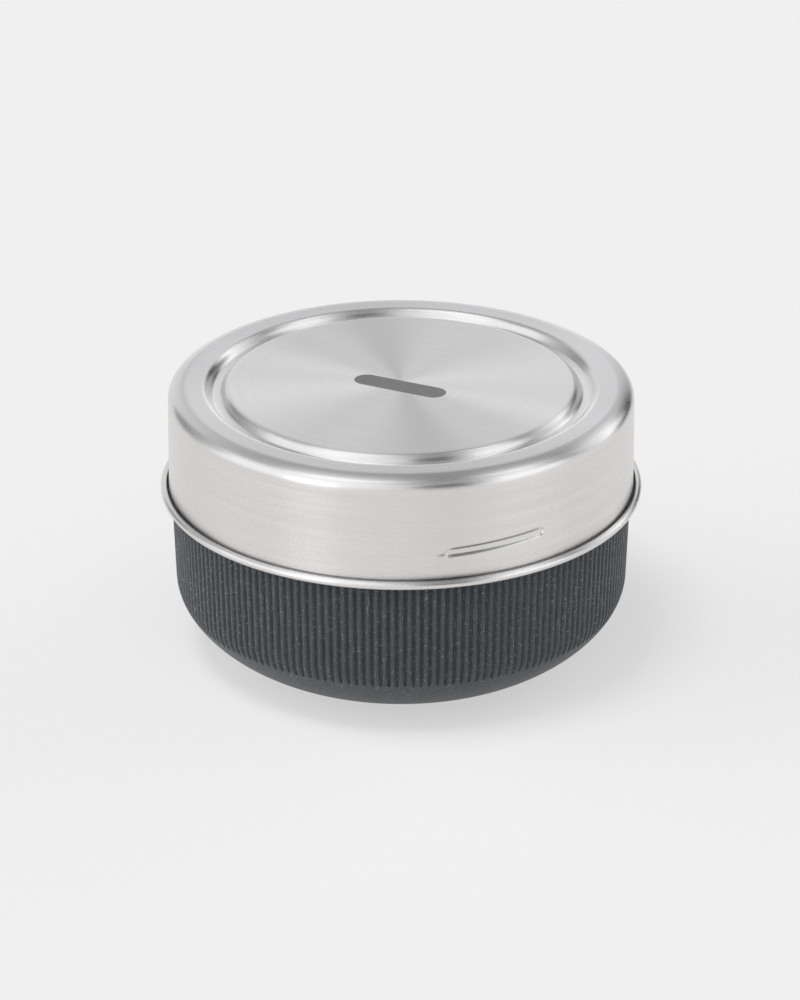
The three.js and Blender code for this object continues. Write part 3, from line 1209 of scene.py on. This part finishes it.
@dataclass(frozen=True)
class InnerBowl:
    """The pressed steel bowl that holds the food, hung by its flange on the neck."""

    bowl: OuterBowl
    label: Label = Label("steel_liner", "inner_bowl", Body.BOWL, "bowl_steel")
    finish: SteelFinish = SteelFinish(
        "Satin steel",
        colour=(0.64, 0.64, 0.65, 1.0),
        shade=(0.52, 0.52, 0.53, 1.0),
        smoothest=0.26,
        roughest=0.4,
        anisotropy=0.45,
        brushing=Brushing.SATIN,
    )
    sheet: float = 0.5 * MM
    gap: float = 0.5 * MM
    flange_inset: float = 0.2 * MM
    flange_bend: float = 1.0 * MM

    @property
    def outside(self) -> float:
        """Outside radius of the wall."""
        return self.bowl.cavity_radius - self.gap

    @property
    def flange_radius(self) -> float:
        """Radius of the flange's edge."""
        return self.bowl.neck_radius - self.flange_inset

    @property
    def flange_top(self) -> float:
        """Height of the flange's upper face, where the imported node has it."""
        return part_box(self.label.node)[1].z

    def build(self, turning: TurnedCopies, effects: SurfaceEffects) -> bpy.types.Object:
        """Makes the piece.

        Args:
            turning: The tree that turns wedges.
            effects: The shared shader groups.

        Returns:
            The piece.
        """
        finish = self.finish.material(effects)
        middle = self.sheet / 2
        wall = self.outside - middle
        floor = self.bowl.floor_top + self.gap + middle
        brim = self.flange_top - middle
        curve = self.bowl.curve.spots(wall - self.bowl.wall_draft, self.bowl.foot_radius, floor)
        upper = rounded_run(
            [
                (*curve[-1], 0.0),
                (wall, brim, self.flange_bend),
                (self.flange_radius, brim, 0.0),
            ]
        )
        inside, outside = sheet_sides([(0.0, floor), *curve[:-1], *upper], self.sheet)
        wedge = Wedge("liner_wedge")
        angles = columns(0.0, self.bowl.thread.wedge)
        wedge.strip(plain_rows(angles, [*outside, *reversed(inside)]))
        skin = turning.turn(wedge.mesh(), self.bowl.thread.count, finish)
        return place_piece(self.label, join_skins([skin]), [finish])


@dataclass(frozen=True)
class LinerGasket:
    """The silicone ring between the inner bowl's flange and the neck."""

    bowl: OuterBowl
    label: Label = Label("flange_ring", "liner_gasket", Body.BOWL, "gasket_silicone")
    finish: SiliconeFinish = SiliconeFinish(
        "Flange silicone", colour=(0.35, 0.36, 0.36, 1.0), shade=(0.29, 0.3, 0.3, 1.0)
    )
    edge: float = 0.25 * MM
    inset: float = 0.2 * MM

    def build(self, turning: TurnedCopies, effects: SurfaceEffects) -> bpy.types.Object:
        """Makes the piece.

        Args:
            turning: The tree that turns wedges.
            effects: The shared shader groups.

        Returns:
            The piece.
        """
        finish = self.finish.material(effects)
        low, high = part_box(self.label.node)
        inside = self.bowl.cavity_radius + self.inset
        outside = self.bowl.neck_radius - self.inset - self.bowl.neck_edge
        loop = rounded_loop(
            [
                (inside, low.z, self.edge),
                (outside, low.z, self.edge),
                (outside, high.z, self.edge),
                (inside, high.z, self.edge),
            ]
        )
        wedge = Wedge("gasket_wedge")
        wedge.strip(plain_rows(columns(0.0, self.bowl.thread.wedge), loop))
        skin = turning.turn(wedge.mesh(), self.bowl.thread.count, finish)
        return place_piece(self.label, join_skins([skin]), [finish])


@dataclass(frozen=True)
class SoftLine:
    """A soft-edged line on the steel: where its middle lies, half its width and its strength."""

    middle: float
    reach: float
    strength: float

    def share(self, place: float) -> float:
        """How strong the line is at a place across it."""
        return self.strength * ease(1 - abs(place - self.middle) / self.reach)


@dataclass(frozen=True)
class LidShell:
    """The lid's one steel pressing: disc, ring channel, shoulder, skirt, rolled bead and lugs."""

    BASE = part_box("lid_shell")[0].z
    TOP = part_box("lid_shell")[1].z
    # How far upright a normal has to be for its place to count as the top.
    FACING_UP = 0.5
    # Rows above the lug's middle line, in millimetres, and the same again below it.
    LUG_ROWS = (0, 0.4, 0.7, 0.82, 0.92, 1, 1.08, 1.16, 1.24, 1.32, 1.4, 1.48, 1.56, 1.66, 1.9, 2.5)
    # Columns round the lug in degrees: past its end, at its end, and from its middle.
    LUG_TAILS = Spacing(first=1.6, step=0.6, count=7)
    LUG_ENDS = Spacing(first=-2.0, step=0.14, count=23)
    LUG_MIDDLE = Spacing(first=1.0, step=2.0, count=5)

    bowl: OuterBowl
    label: Label = Label("steel_lid", "lid_shell", Body.LID, "lid_steel")
    finish: SteelFinish = SteelFinish(
        "Brushed steel",
        colour=(0.794, 0.768, 0.742, 1.0),
        shade=(0.717, 0.695, 0.676, 1.0),
        smoothest=0.3,
        roughest=0.38,
        anisotropy=0.9,
        brushing=Brushing.FINE,
        formed_share=0.8,
    )
    mark_finish: EtchedFinish = EtchedFinish(
        "Etched steel", colour=(0.27, 0.26, 0.25, 1.0), shade=(0.2, 0.195, 0.19, 1.0)
    )
    sheet: float = 0.5 * MM
    skirt_draft: float = 0.55 * MM
    bead_radius: float = 80.0 * MM
    curl_radius: float = 1.3 * MM
    curl_turn: float = 300.0
    flare: float = 0.9 * MM
    # How far above the skirt's foot the painted shade of the bead's seam starts.
    seam_shade_edge: float = 0.15 * MM
    shoulder: float = 5.0 * MM
    brow_radius: float = 8.0 * MM
    brow_turn: float = 22.0
    knee_radius: float = 4.4 * MM
    rim_flat: float = 7.6 * MM
    channel_width: float = 6.5 * MM
    channel_depth: float = 2.8 * MM
    channel_draft: float = 1.8 * MM
    fold: float = 2.2 * MM
    lug_floor: float = 0.85 * MM
    lug_mouth: float = 1.6 * MM
    lug_share: float = 0.5
    # Painted shade: dark lines along the lug's upper and lower walls and a dark patch beside its tail,
    # faded out towards the lug's ends.
    upper_wall_shade: SoftLine = SoftLine(1.2 * MM, 0.85 * MM, 1.0)
    lower_wall_shade: SoftLine = SoftLine(-1.14 * MM, 0.46 * MM, 0.45)
    tail_shade: SoftLine = SoftLine(-0.4 * MM, 0.75 * MM, 0.55)
    wall_shade_fade: float = 1.5 * MM
    # Painted shade in the bead's seam and on the inside of its curl.
    seam_shade: float = 0.3
    # Painted shade that darkens the rim flat, and a painted dark line where the rim bends into the
    # shoulder.
    rim_shade: float = 0.13
    rim_edge_shade: SoftLine = SoftLine(71.9 * MM, 1.4 * MM, 0.14)
    tail_length: float = 4.5 * MM
    tail_depth: float = 0.16 * MM
    tail_width: float = 1.2
    tail_drop: float = 0.3 * MM
    tail_start: float = 1 * MM
    tail_fade: float = 2 * MM
    patch_radius: float = 24 * MM
    mark_length: float = 32.6 * MM
    mark_width: float = 8.4 * MM
    mark_place: Spot = (-0.36 * MM, -3.1 * MM)
    mark_turn: float = -26.0
    mark_depth: float = 0.05 * MM

    @property
    def skirt_inside(self) -> float:
        """Inside radius at the top of the skirt."""
        thread = self.bowl.thread
        return self.bowl.neck_radius + thread.ramp_depth + thread.gap

    @property
    def channel_outside(self) -> float:
        """Outside radius of the ring channel."""
        return self.skirt_inside + self.sheet - self.shoulder - self.rim_flat

    @property
    def disc_radius(self) -> float:
        """Radius of the disc inside the channel."""
        return self.channel_outside - self.channel_width

    @property
    def lug_depth(self) -> float:
        """How far a lug is pressed in from the skirt."""
        thread = self.bowl.thread
        share = (thread.lug_height - self.curl_radius) / (self.TOP - self.BASE - self.curl_radius)
        inside = lerp(self.skirt_inside + self.skirt_draft, self.skirt_inside, share)
        return inside - self.bowl.neck_radius - thread.gap

    def build(self, turning: TurnedCopies, effects: SurfaceEffects) -> bpy.types.Object:
        """Makes the piece.

        Args:
            turning: The tree that turns wedges.
            effects: The shared shader groups.

        Returns:
            The piece.
        """
        finish = self.finish.material(effects)
        mark = self.mark_finish.material(effects)
        crown, curl = self._sheet_lines()
        outer, inner = sheet_sides([*crown, *curl], self.sheet)
        # The skirt lies between the two supports of the crown's last run, and above the disc the
        # patch stands for the point on the axis and the support beside it.
        start = len(crown) - 3
        end = start + 1
        patched = 2
        thread = self.bowl.thread
        coarse = columns(thread.first, thread.wedge)
        below = [
            *plain_rows(coarse, inner[:end]),
            *self._skirt_rows(inner[start], inner[end], 1.0),
            *plain_rows(coarse, inner[end:]),
        ]
        above = [
            *plain_rows(coarse, [(self.patch_radius, self.TOP), *outer[patched:end]]),
            *self._skirt_rows(outer[start], outer[end], self.lug_share),
            *plain_rows(coarse, [self._seam_shade_start(outer[end], outer[start]), *outer[end:]]),
        ]
        wedge = Wedge("one_lug")
        wedge.strip([*below, *reversed(above)])
        skin = join_skins([turning.turn(wedge.mesh(), thread.count, finish)])
        self._add_middle(skin, coarse)
        # Painted shade on the rim, in the bead's seam and along the lugs.
        self._paint_shade(skin, outer[end:])
        return place_piece(self.label, skin, [finish, mark])

    def _sheet_lines(self) -> tuple[list[Spot], list[Spot]]:
        """The middle of the sheet, from the axis to the foot of the skirt, and then round the bead."""
        middle = self.sheet / 2
        top = self.TOP - middle
        floor = top - self.channel_depth
        centre = Vector((self.bead_radius - self.curl_radius, self.BASE + self.curl_radius))
        hem = (self.skirt_inside + self.skirt_draft + middle, centre.y + self.flare)
        brow = math.radians(self.brow_turn)
        slope = self.brow_radius * math.tan(brow / 2)
        slope += self.knee_radius * math.tan(math.pi / 4 - brow / 2)
        knee = (self.skirt_inside + middle, top - slope * math.sin(brow))
        crown = rounded_run(
            [
                (0.0, top, 0.0),
                (self.disc_radius - middle, top, self.fold),
                (self.disc_radius - middle + self.channel_draft, floor, self.fold),
                (self.channel_outside + middle - self.channel_draft, floor, self.fold),
                (self.channel_outside + middle, top, self.fold),
                (knee[0] - slope * math.cos(brow), top, self.brow_radius),
                (*knee, self.knee_radius),
                (*hem, 0.0),
            ]
        )
        turn = math.pi + math.radians(self.curl_turn)
        return crown, arc(centre, self.curl_radius - middle, math.pi, turn)

    def _seam_shade_start(self, foot: Spot, top: Spot) -> Spot:
        """The place on the skirt just above its foot, from which painted shade fades in towards the
        bead's seam.
        """
        share = self.seam_shade_edge / (top[1] - foot[1])
        return lerp(foot[0], top[0], share), lerp(foot[1], top[1], share)

    def _skirt_rows(self, top: Spot, foot: Spot, share: float) -> list[Row]:
        """Rows down one face of the skirt, close together across the lug.

        Args:
            top: Where the face starts, under the shoulder.
            foot: Where it ends, above the bead.
            share: Share of the lug's full depth that this face has.

        Returns:
            The rows, from the top down.
        """
        thread = self.bowl.thread
        half = thread.lug_span / 2
        right = self.LUG_MIDDLE.places() + self.LUG_ENDS.places(half) + self.LUG_TAILS.places(half)
        added = [thread.first + offset for offset in (*right, *(-offset for offset in right))]
        angles = tuple(sorted({*columns(thread.first, thread.wedge), *added}))
        rises = [*reversed(self.LUG_ROWS), *(-rise for rise in self.LUG_ROWS[1:])]
        return [self._skirt_row(angles, rise * MM, top, foot, share) for rise in rises]

    def _skirt_row(
        self, angles: tuple[float, ...], rise: float, top: Spot, foot: Spot, share: float
    ) -> Row:
        """A row round the skirt that follows the slope of the lug.

        Args:
            angles: Its directions.
            rise: How far it lies above the middle of the lug.
            top: Where this face of the skirt starts.
            foot: Where it ends.
            share: Share of the lug's full depth that this face has.

        Returns:
            The row.
        """
        thread = self.bowl.thread

        def at(angle: float) -> Spot:
            """Radius and height in a direction."""
            along = angle - thread.first
            height = self.BASE + thread.lug_height + rise + thread.climb(along, thread.lug_climb)
            face = lerp(top[0], foot[0], (top[1] - height) / (top[1] - foot[1]))
            return face - share * self._pressed(math.radians(along) * top[0], rise), height

        return Row(angles, at)

    @property
    def lug_straight(self) -> float:
        """Half the length of a lug between its round ends."""
        return math.radians(self.bowl.thread.lug_span / 2) * self.skirt_inside - self.lug_mouth

    def _pressed(self, along: float, rise: float) -> float:
        """How far the sheet is pressed in at a place on the skirt.

        Args:
            along: Distance from the middle of the lug, round the skirt.
            rise: Distance above the middle line of the lug.

        Returns:
            The depth.
        """
        mouth = self.lug_mouth
        past = max(abs(along) - self.lug_straight, 0.0)
        lug = ease((mouth - math.hypot(past, rise)) / (mouth - self.lug_floor))
        beyond = max(-along - self.lug_straight, 0.0)
        tail = ease(beyond / mouth) * ease(1 - beyond / (self.tail_length + mouth))
        dimple = tail * ease(self.tail_width - abs(rise + self.tail_drop) / mouth)
        return self.lug_depth * lug + self.tail_depth * dimple

    def _paint_shade(self, skin: bmesh.types.BMesh, seam: Sequence[Spot]) -> None:
        """Paints shade into the steel's colour: over the rim and along its outer edge, in the bead's
        seam and along the lugs' walls.

        Args:
            skin: The lid's skin.
            seam: The sheet's outer face from the foot of the skirt round into the bead.
        """
        thread = self.bowl.thread
        hidden = [Vector(spot) for spot in seam]
        bead_top = max(spot.y for spot in hidden) + WELD
        shade_amount = skin.verts.layers.float.new(PAINTED_SHADE)
        skin.normal_update()
        for vert in skin.verts:
            spot = Vector((vert.co.xy.length, vert.co.z))
            # Painted shade in the bead's seam and on the inside of its curl.
            if spot.y < bead_top:
                inside = any((spot - other).length < WELD for other in hidden)
                vert[shade_amount] = self.seam_shade if inside else 0.0
            # Painted shade over the rim flat and along its outer edge.
            elif spot.x > self.channel_outside and vert.normal.z > self.FACING_UP:
                vert[shade_amount] = self._rim_shade_share(spot.x)
            # Painted shade along the lugs' walls and beside their tails, on the skirt's outer face.
            elif spot.x > self.patch_radius and vert.normal.xy.dot(vert.co.xy) > 0:
                turn = math.degrees(math.atan2(vert.co.y, vert.co.x)) - thread.first
                along = (turn + thread.wedge / 2) % thread.wedge - thread.wedge / 2
                climb = thread.climb(along, thread.lug_climb)
                rise = spot.y - self.BASE - thread.lug_height - climb
                vert[shade_amount] = self._lug_shade(math.radians(along) * spot.x, rise)

    def _rim_shade_share(self, radius: float) -> float:
        """How much shade is painted on the rim at a radius, from the channel to the shoulder, with a
        painted dark line along its outer edge.
        """
        rim = ease((radius - self.channel_outside) / self.fold)
        rim *= ease((self.skirt_inside - radius) / self.shoulder)
        return rim * self.rim_shade + self.rim_edge_shade.share(radius)

    def _lug_shade(self, along: float, rise: float) -> float:
        """How much shade is painted on the skirt at a place on or near a lug: dark lines along its
        walls and a dark patch beside its tail.

        Args:
            along: Distance from the middle of the lug, round the skirt.
            rise: Distance above the middle line of the lug.

        Returns:
            The share of painted shade, from 0 to 1.
        """
        run = ease((self.lug_straight - abs(along)) / self.wall_shade_fade)
        walls = max(self.upper_wall_shade.share(rise), self.lower_wall_shade.share(rise))
        beyond = -along - self.lug_straight
        tail_run = ease((beyond - self.lug_floor) / self.tail_start)
        tail_run *= ease((self.tail_length - beyond) / self.tail_fade)
        return max(run * walls, tail_run * self.tail_shade.share(rise))

    def _add_middle(self, skin: bmesh.types.BMesh, coarse: tuple[float, ...]) -> None:
        """Fills the middle of the disc, with a plain etched mark in it.

        Args:
            skin: The lid's skin, open at the patch.
            coarse: Directions of one wedge's columns.
        """
        first = math.radians(coarse[0])
        count = (len(coarse) - 1) * self.bowl.thread.count
        turns = [first + math.tau * i / count for i in range(count)]
        radius = self.patch_radius
        rim = [(radius * math.cos(turn), radius * math.sin(turn)) for turn in turns]
        before = len(skin.faces)
        edge = self._loop(skin, rim, self.TOP)
        upper = self._loop(skin, self._mark_outline(), self.TOP)
        lower = self._loop(skin, self._mark_outline(), self.TOP - self.mark_depth)
        bmesh.ops.triangle_fill(skin, use_beauty=True, edges=[*edge, *upper], normal=(0, 0, 1))
        ground = bmesh.ops.triangle_fill(skin, use_beauty=True, edges=lower, normal=(0, 0, 1))["geom"]
        walls = bmesh.ops.bridge_loops(skin, edges=[*upper, *lower])["faces"]
        for face in [*walls, *(item for item in ground if isinstance(item, bmesh.types.BMFace))]:
            face.material_index = 1
        bmesh.ops.remove_doubles(skin, verts=skin.verts, dist=WELD)
        bmesh.ops.recalc_face_normals(skin, faces=skin.faces)
        LOG.info("the middle of the disc has %d faces", len(skin.faces) - before)

    @staticmethod
    def _loop(
        skin: bmesh.types.BMesh, outline: Sequence[Spot], height: float
    ) -> list[bmesh.types.BMEdge]:
        """Adds a closed loop of edges.

        Args:
            skin: The skin to add to.
            outline: The loop's points, seen from above.
            height: The height that they lie at.

        Returns:
            The edges.
        """
        points = [skin.verts.new((x, y, height)) for x, y in outline]
        return [skin.edges.new(pair) for pair in zip(points, [*points[1:], points[0]])]

    def _mark_outline(self) -> list[Spot]:
        """The mark's outline seen from above: a bar with round ends, turned on the disc."""
        radius = self.mark_width / 2
        left_by, front_by = self.mark_place
        reach = self.mark_length / 2 - radius
        right = arc(Vector((reach, 0.0)), radius, -math.pi / 2, math.pi / 2)
        left = arc(Vector((-reach, 0.0)), radius, math.pi / 2, 3 * math.pi / 2)
        turn = math.radians(self.mark_turn)
        c = math.cos(turn)
        s = math.sin(turn)
        return [(left_by + x * c - y * s, front_by + x * s + y * c) for x, y in [*right, *left]]


@dataclass(frozen=True)
class LidSeal:
    """The silicone ring in the pocket between the lid's channel and its shoulder."""

    lid: LidShell
    liner: InnerBowl
    label: Label = Label("seal_ring", "lid_seal", Body.SEAL, "seal_silicone")
    finish: SiliconeFinish = SiliconeFinish(
        "Seal silicone", colour=(0.36, 0.37, 0.37, 1.0), shade=(0.3, 0.31, 0.31, 1.0)
    )
    gap: float = 0.3 * MM
    lip_gap: float = 0.4 * MM
    lip_width: float = 1.2 * MM
    lip_taper: float = 0.2 * MM
    edge: float = 0.3 * MM

    def build(self, turning: TurnedCopies, effects: SurfaceEffects) -> bpy.types.Object:
        """Makes the piece.

        Args:
            turning: The tree that turns wedges.
            effects: The shared shader groups.

        Returns:
            The piece.
        """
        finish = self.finish.material(effects)
        wedge = Wedge("seal_wedge")
        thread = self.lid.bowl.thread
        wedge.strip(plain_rows(columns(0.0, thread.wedge), self._outline()))
        skin = turning.turn(wedge.mesh(), thread.count, finish)
        return place_piece(self.label, join_skins([skin]), [finish])

    def _outline(self) -> list[Spot]:
        """The ring's section: flat under the flange's edge, with a lip that reaches inside the wall."""
        lid = self.lid
        bottom, top = (corner.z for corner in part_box(self.label.node))
        base = self.liner.flange_top + self.gap
        ceiling = lid.TOP - lid.sheet
        lip_outside = self.liner.outside - self.liner.sheet - self.lip_gap
        lip_inside = lip_outside - self.lip_width
        fold = lid.fold - lid.sheet / 2
        inner = Vector((lid.channel_outside + lid.sheet + fold, ceiling - fold))
        shoulder = Vector((lid.skirt_inside + lid.sheet - lid.shoulder, lid.TOP - lid.shoulder))
        reach = lid.shoulder - lid.sheet - self.gap
        start = math.acos((self.liner.flange_radius - shoulder.x) / reach)
        under = rounded_run(
            [
                (inner.x - fold + self.gap, ceiling - fold, 0.0),
                (inner.x - fold + self.gap, base, self.edge),
                (lip_inside - self.lip_taper, base, self.edge),
                (lip_inside, bottom, self.edge),
                (lip_outside - self.lip_taper, bottom, self.edge),
                (lip_outside, base, self.edge),
                (self.liner.flange_radius, base, self.edge),
                (self.liner.flange_radius, shoulder.y + reach * math.sin(start), 0.0),
            ]
        )
        outer_arc = arc(shoulder, reach, start, math.pi / 2)
        inner_arc = arc(inner, fold - self.gap, math.pi / 2, math.pi)
        crown = [*outer_arc[1:], *supports(outer_arc[-1], inner_arc[0]), *inner_arc]
        return [*under, *[(r, min(z, top)) for r, z in crown[:-1]], under[0]]


@dataclass(frozen=True)
class SoftPanel:
    """A round soft panel of the studio, or a dark card where its strength is below 0, in degrees."""

    turn: float
    lift: float
    reach: float
    blur: float
    strength: float

    @property
    def direction(self) -> Vector:
        """Where it stands, with turn counted from the camera's side towards the right."""
        turn = math.radians(self.turn)
        lift = math.radians(self.lift)
        flat = math.cos(lift)
        return Vector((math.sin(turn) * flat, -math.cos(turn) * flat, math.sin(lift)))


@dataclass(frozen=True)
class Studio:
    """The pale floor, the soft light all round and the camera."""

    pale: Colour = (0.863, 0.863, 0.863, 1.0)
    floor_colour: Colour = (0.49, 0.49, 0.49, 1.0)
    floor_glow: float = 0.66
    floor_size: float = 12.0
    floor_lamp_turn: float = -60.0
    floor_lamp_lift: float = 75.0
    floor_lamp_spread: float = 22.0
    floor_lamp_power: float = 2.4
    tint: Colour = (0.972, 1.0, 1.045, 1.0)
    ambient: float = 0.07
    lamps: tuple[SoftPanel, ...] = (
        SoftPanel(turn=-90, lift=22, reach=14, blur=28, strength=4.0),
        SoftPanel(turn=112, lift=20, reach=12, blur=24, strength=3.0),
        SoftPanel(turn=10, lift=62, reach=12, blur=26, strength=2.0),
    )
    surround: float = 0.863
    panels: tuple[SoftPanel, ...] = (
        SoftPanel(turn=177, lift=78, reach=31, blur=16, strength=-0.53),
        SoftPanel(turn=147, lift=5, reach=18, blur=10, strength=-0.86),
        SoftPanel(turn=-67, lift=30, reach=31, blur=31, strength=0.38),
        SoftPanel(turn=28, lift=32, reach=13, blur=10, strength=-0.85),
        SoftPanel(turn=-122, lift=20, reach=17, blur=10, strength=-0.55),
        SoftPanel(turn=114, lift=60, reach=7, blur=10, strength=1.35),
        SoftPanel(turn=127, lift=30, reach=13, blur=10, strength=0.96),
        SoftPanel(turn=115, lift=40, reach=13, blur=10, strength=-0.86),
        SoftPanel(turn=-96, lift=77, reach=3, blur=19, strength=1.20),
        SoftPanel(turn=171, lift=1, reach=9, blur=17, strength=0.58),
        SoftPanel(turn=60, lift=25, reach=19, blur=10, strength=0.53),
        SoftPanel(turn=-43, lift=11, reach=7, blur=10, strength=1.25),
    )
    aim: tuple[float, float, float] = (-0.37 * MM, 0.0, 48.92 * MM)
    elevation: float = 25.41
    distance: float = 1.104
    lens: float = 118.836
    sensor: float = 36.0
    nearest: float = 0.05

    def build(self) -> None:
        """Sets up the whole studio."""
        bpy.context.scene.view_settings.view_transform = "Standard"
        self._floor()
        self._light()
        self._camera()

    def _floor(self) -> None:
        """Lays the floor, which shows its own pale colour and keeps the bowl's shadow."""
        half = self.floor_size / 2
        mesh = bpy.data.meshes.new("floor")
        corners = [(-half, -half, 0.0), (half, -half, 0.0), (half, half, 0.0), (-half, half, 0.0)]
        mesh.from_pydata(corners, [], [(0, 1, 2, 3)])
        floor = bpy.data.objects.new("floor", mesh)
        bpy.context.scene.collection.objects.link(floor)
        material = bpy.data.materials.new("Pale floor")
        material.use_nodes = True
        material.node_tree.nodes.clear()
        wiring = Wiring(material.node_tree)
        matt = wiring.add("ShaderNodeBsdfDiffuse")
        matt.inputs["Color"].default_value = self.floor_colour
        glow = wiring.add("ShaderNodeEmission")
        glow.inputs["Color"].default_value = self.pale
        shown = wiring.maths("MULTIPLY", self._seen(wiring), self.floor_glow)
        mix = wiring.add("ShaderNodeMixShader")
        wiring.feed(mix.inputs[0], shown)
        wiring.feed(mix.inputs[1], matt.outputs["BSDF"])
        wiring.feed(mix.inputs[2], glow.outputs["Emission"])
        surface = wiring.add("ShaderNodeOutputMaterial")
        wiring.feed(surface.inputs["Surface"], mix.outputs["Shader"])
        mesh.materials.append(material)
        self._light_floor(floor)

    def _light_floor(self, floor: bpy.types.Object) -> None:
        """Lights the floor alone from over the left, so that the shadow falls to the right.

        Args:
            floor: The floor.
        """
        data = bpy.data.lights.new("floor lamp", "SUN")
        data.energy = self.floor_lamp_power
        data.angle = math.radians(self.floor_lamp_spread)
        lamp = bpy.data.objects.new("floor lamp", data)
        lean = math.radians(90 - self.floor_lamp_lift)
        lamp.rotation_euler = (lean, 0.0, math.radians(self.floor_lamp_turn))
        bpy.context.scene.collection.objects.link(lamp)
        lit = bpy.data.collections.new("lit by the floor lamp")
        lit.objects.link(floor)
        lamp.light_linking.receiver_collection = lit

    @staticmethod
    def _seen(wiring: Wiring) -> bpy.types.NodeSocket:
        """1 for rays that the camera, a mirror or glass sends, and 0 for the rest."""
        path = wiring.add("ShaderNodeLightPath")
        glossy = path.outputs["Is Glossy Ray"]
        mirrored = wiring.maths("MAXIMUM", glossy, path.outputs["Is Transmission Ray"])
        return wiring.maths("MAXIMUM", path.outputs["Is Camera Ray"], mirrored)

    def _light(self) -> None:
        """Lights the bowl softly from both sides and above, and gives its steel panels to mirror."""
        world = bpy.data.worlds.new("Soft studio")
        bpy.context.scene.world = world
        world.use_nodes = True
        world.node_tree.nodes.clear()
        world.cycles.sampling_method = "NONE"
        wiring = Wiring(world.node_tree)
        path = wiring.add("ShaderNodeLightPath")
        plain = self._level(wiring, self.ambient, self.lamps)
        mirrored = self._level(wiring, self.surround, self.panels)
        lamps = wiring.add("ShaderNodeBackground")
        glossy = path.outputs["Is Glossy Ray"]
        wiring.feed(lamps.inputs["Strength"], wiring.remap(glossy, FULL, (plain, mirrored)))
        wiring.feed(lamps.inputs["Color"], wiring.blend(glossy, WHITE, self.tint))
        backdrop = wiring.add("ShaderNodeBackground")
        backdrop.inputs["Color"].default_value = self.pale
        mix = wiring.add("ShaderNodeMixShader")
        wiring.feed(mix.inputs[0], path.outputs["Is Camera Ray"])
        wiring.feed(mix.inputs[1], lamps.outputs["Background"])
        wiring.feed(mix.inputs[2], backdrop.outputs["Background"])
        surface = wiring.add("ShaderNodeOutputWorld")
        wiring.feed(surface.inputs["Surface"], mix.outputs["Shader"])

    @staticmethod
    def _level(wiring: Wiring, base: float, panels: Sequence[SoftPanel]) -> bpy.types.NodeSocket:
        """How bright the studio is in each direction.

        Args:
            wiring: The wiring of the world.
            base: The level between the panels.
            panels: The panels and dark cards.

        Returns:
            The level.
        """
        way = wiring.add("ShaderNodeTexCoord").outputs["Generated"]
        level = base
        for panel in panels:
            facing = wiring.add("ShaderNodeVectorMath", operation="DOT_PRODUCT")
            wiring.feed(facing.inputs[0], way)
            wiring.feed(facing.inputs[1], panel.direction)
            edges = (
                math.cos(math.radians(panel.reach + panel.blur)),
                math.cos(math.radians(panel.reach)),
            )
            share = wiring.remap(facing.outputs["Value"], edges, (0.0, panel.strength), True)
            level = wiring.maths("ADD", level, share)
        return wiring.maths("MAXIMUM", level, 0.0)

    def _camera(self) -> None:
        """Stands the camera where the photograph was taken from."""
        data = bpy.data.cameras.new("camera")
        data.sensor_fit = "VERTICAL"
        data.sensor_height = self.sensor
        data.lens = self.lens
        data.clip_start = self.nearest
        camera = bpy.data.objects.new("camera", data)
        bpy.context.scene.collection.objects.link(camera)
        lift = math.radians(self.elevation)
        back = Vector((0.0, -math.cos(lift), math.sin(lift)))
        camera.location = Vector(self.aim) + back * self.distance
        camera.rotation_euler = (math.pi / 2 - lift, 0.0, 0.0)
        bpy.context.scene.camera = camera


def main() -> None:
    """Builds the pieces in order, then the studio."""
    logging.basicConfig(level=logging.INFO, format="%(name)s: %(message)s")
    LOG.info("dressing %d packed nodes", len(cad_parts))
    turning = TurnedCopies()
    effects = SurfaceEffects()
    bowl = OuterBowl()
    liner = InnerBowl(bowl)
    lid = LidShell(bowl)
    for assembly in (bowl, liner, LinerGasket(bowl), lid, LidSeal(lid, liner)):
        piece = assembly.build(turning, effects)
        piece.data.calc_loop_triangles()
        LOG.info("%s: %d triangles", piece.name, len(piece.data.loop_triangles))
    Studio().build()


if __name__ == "__main__":
    main()
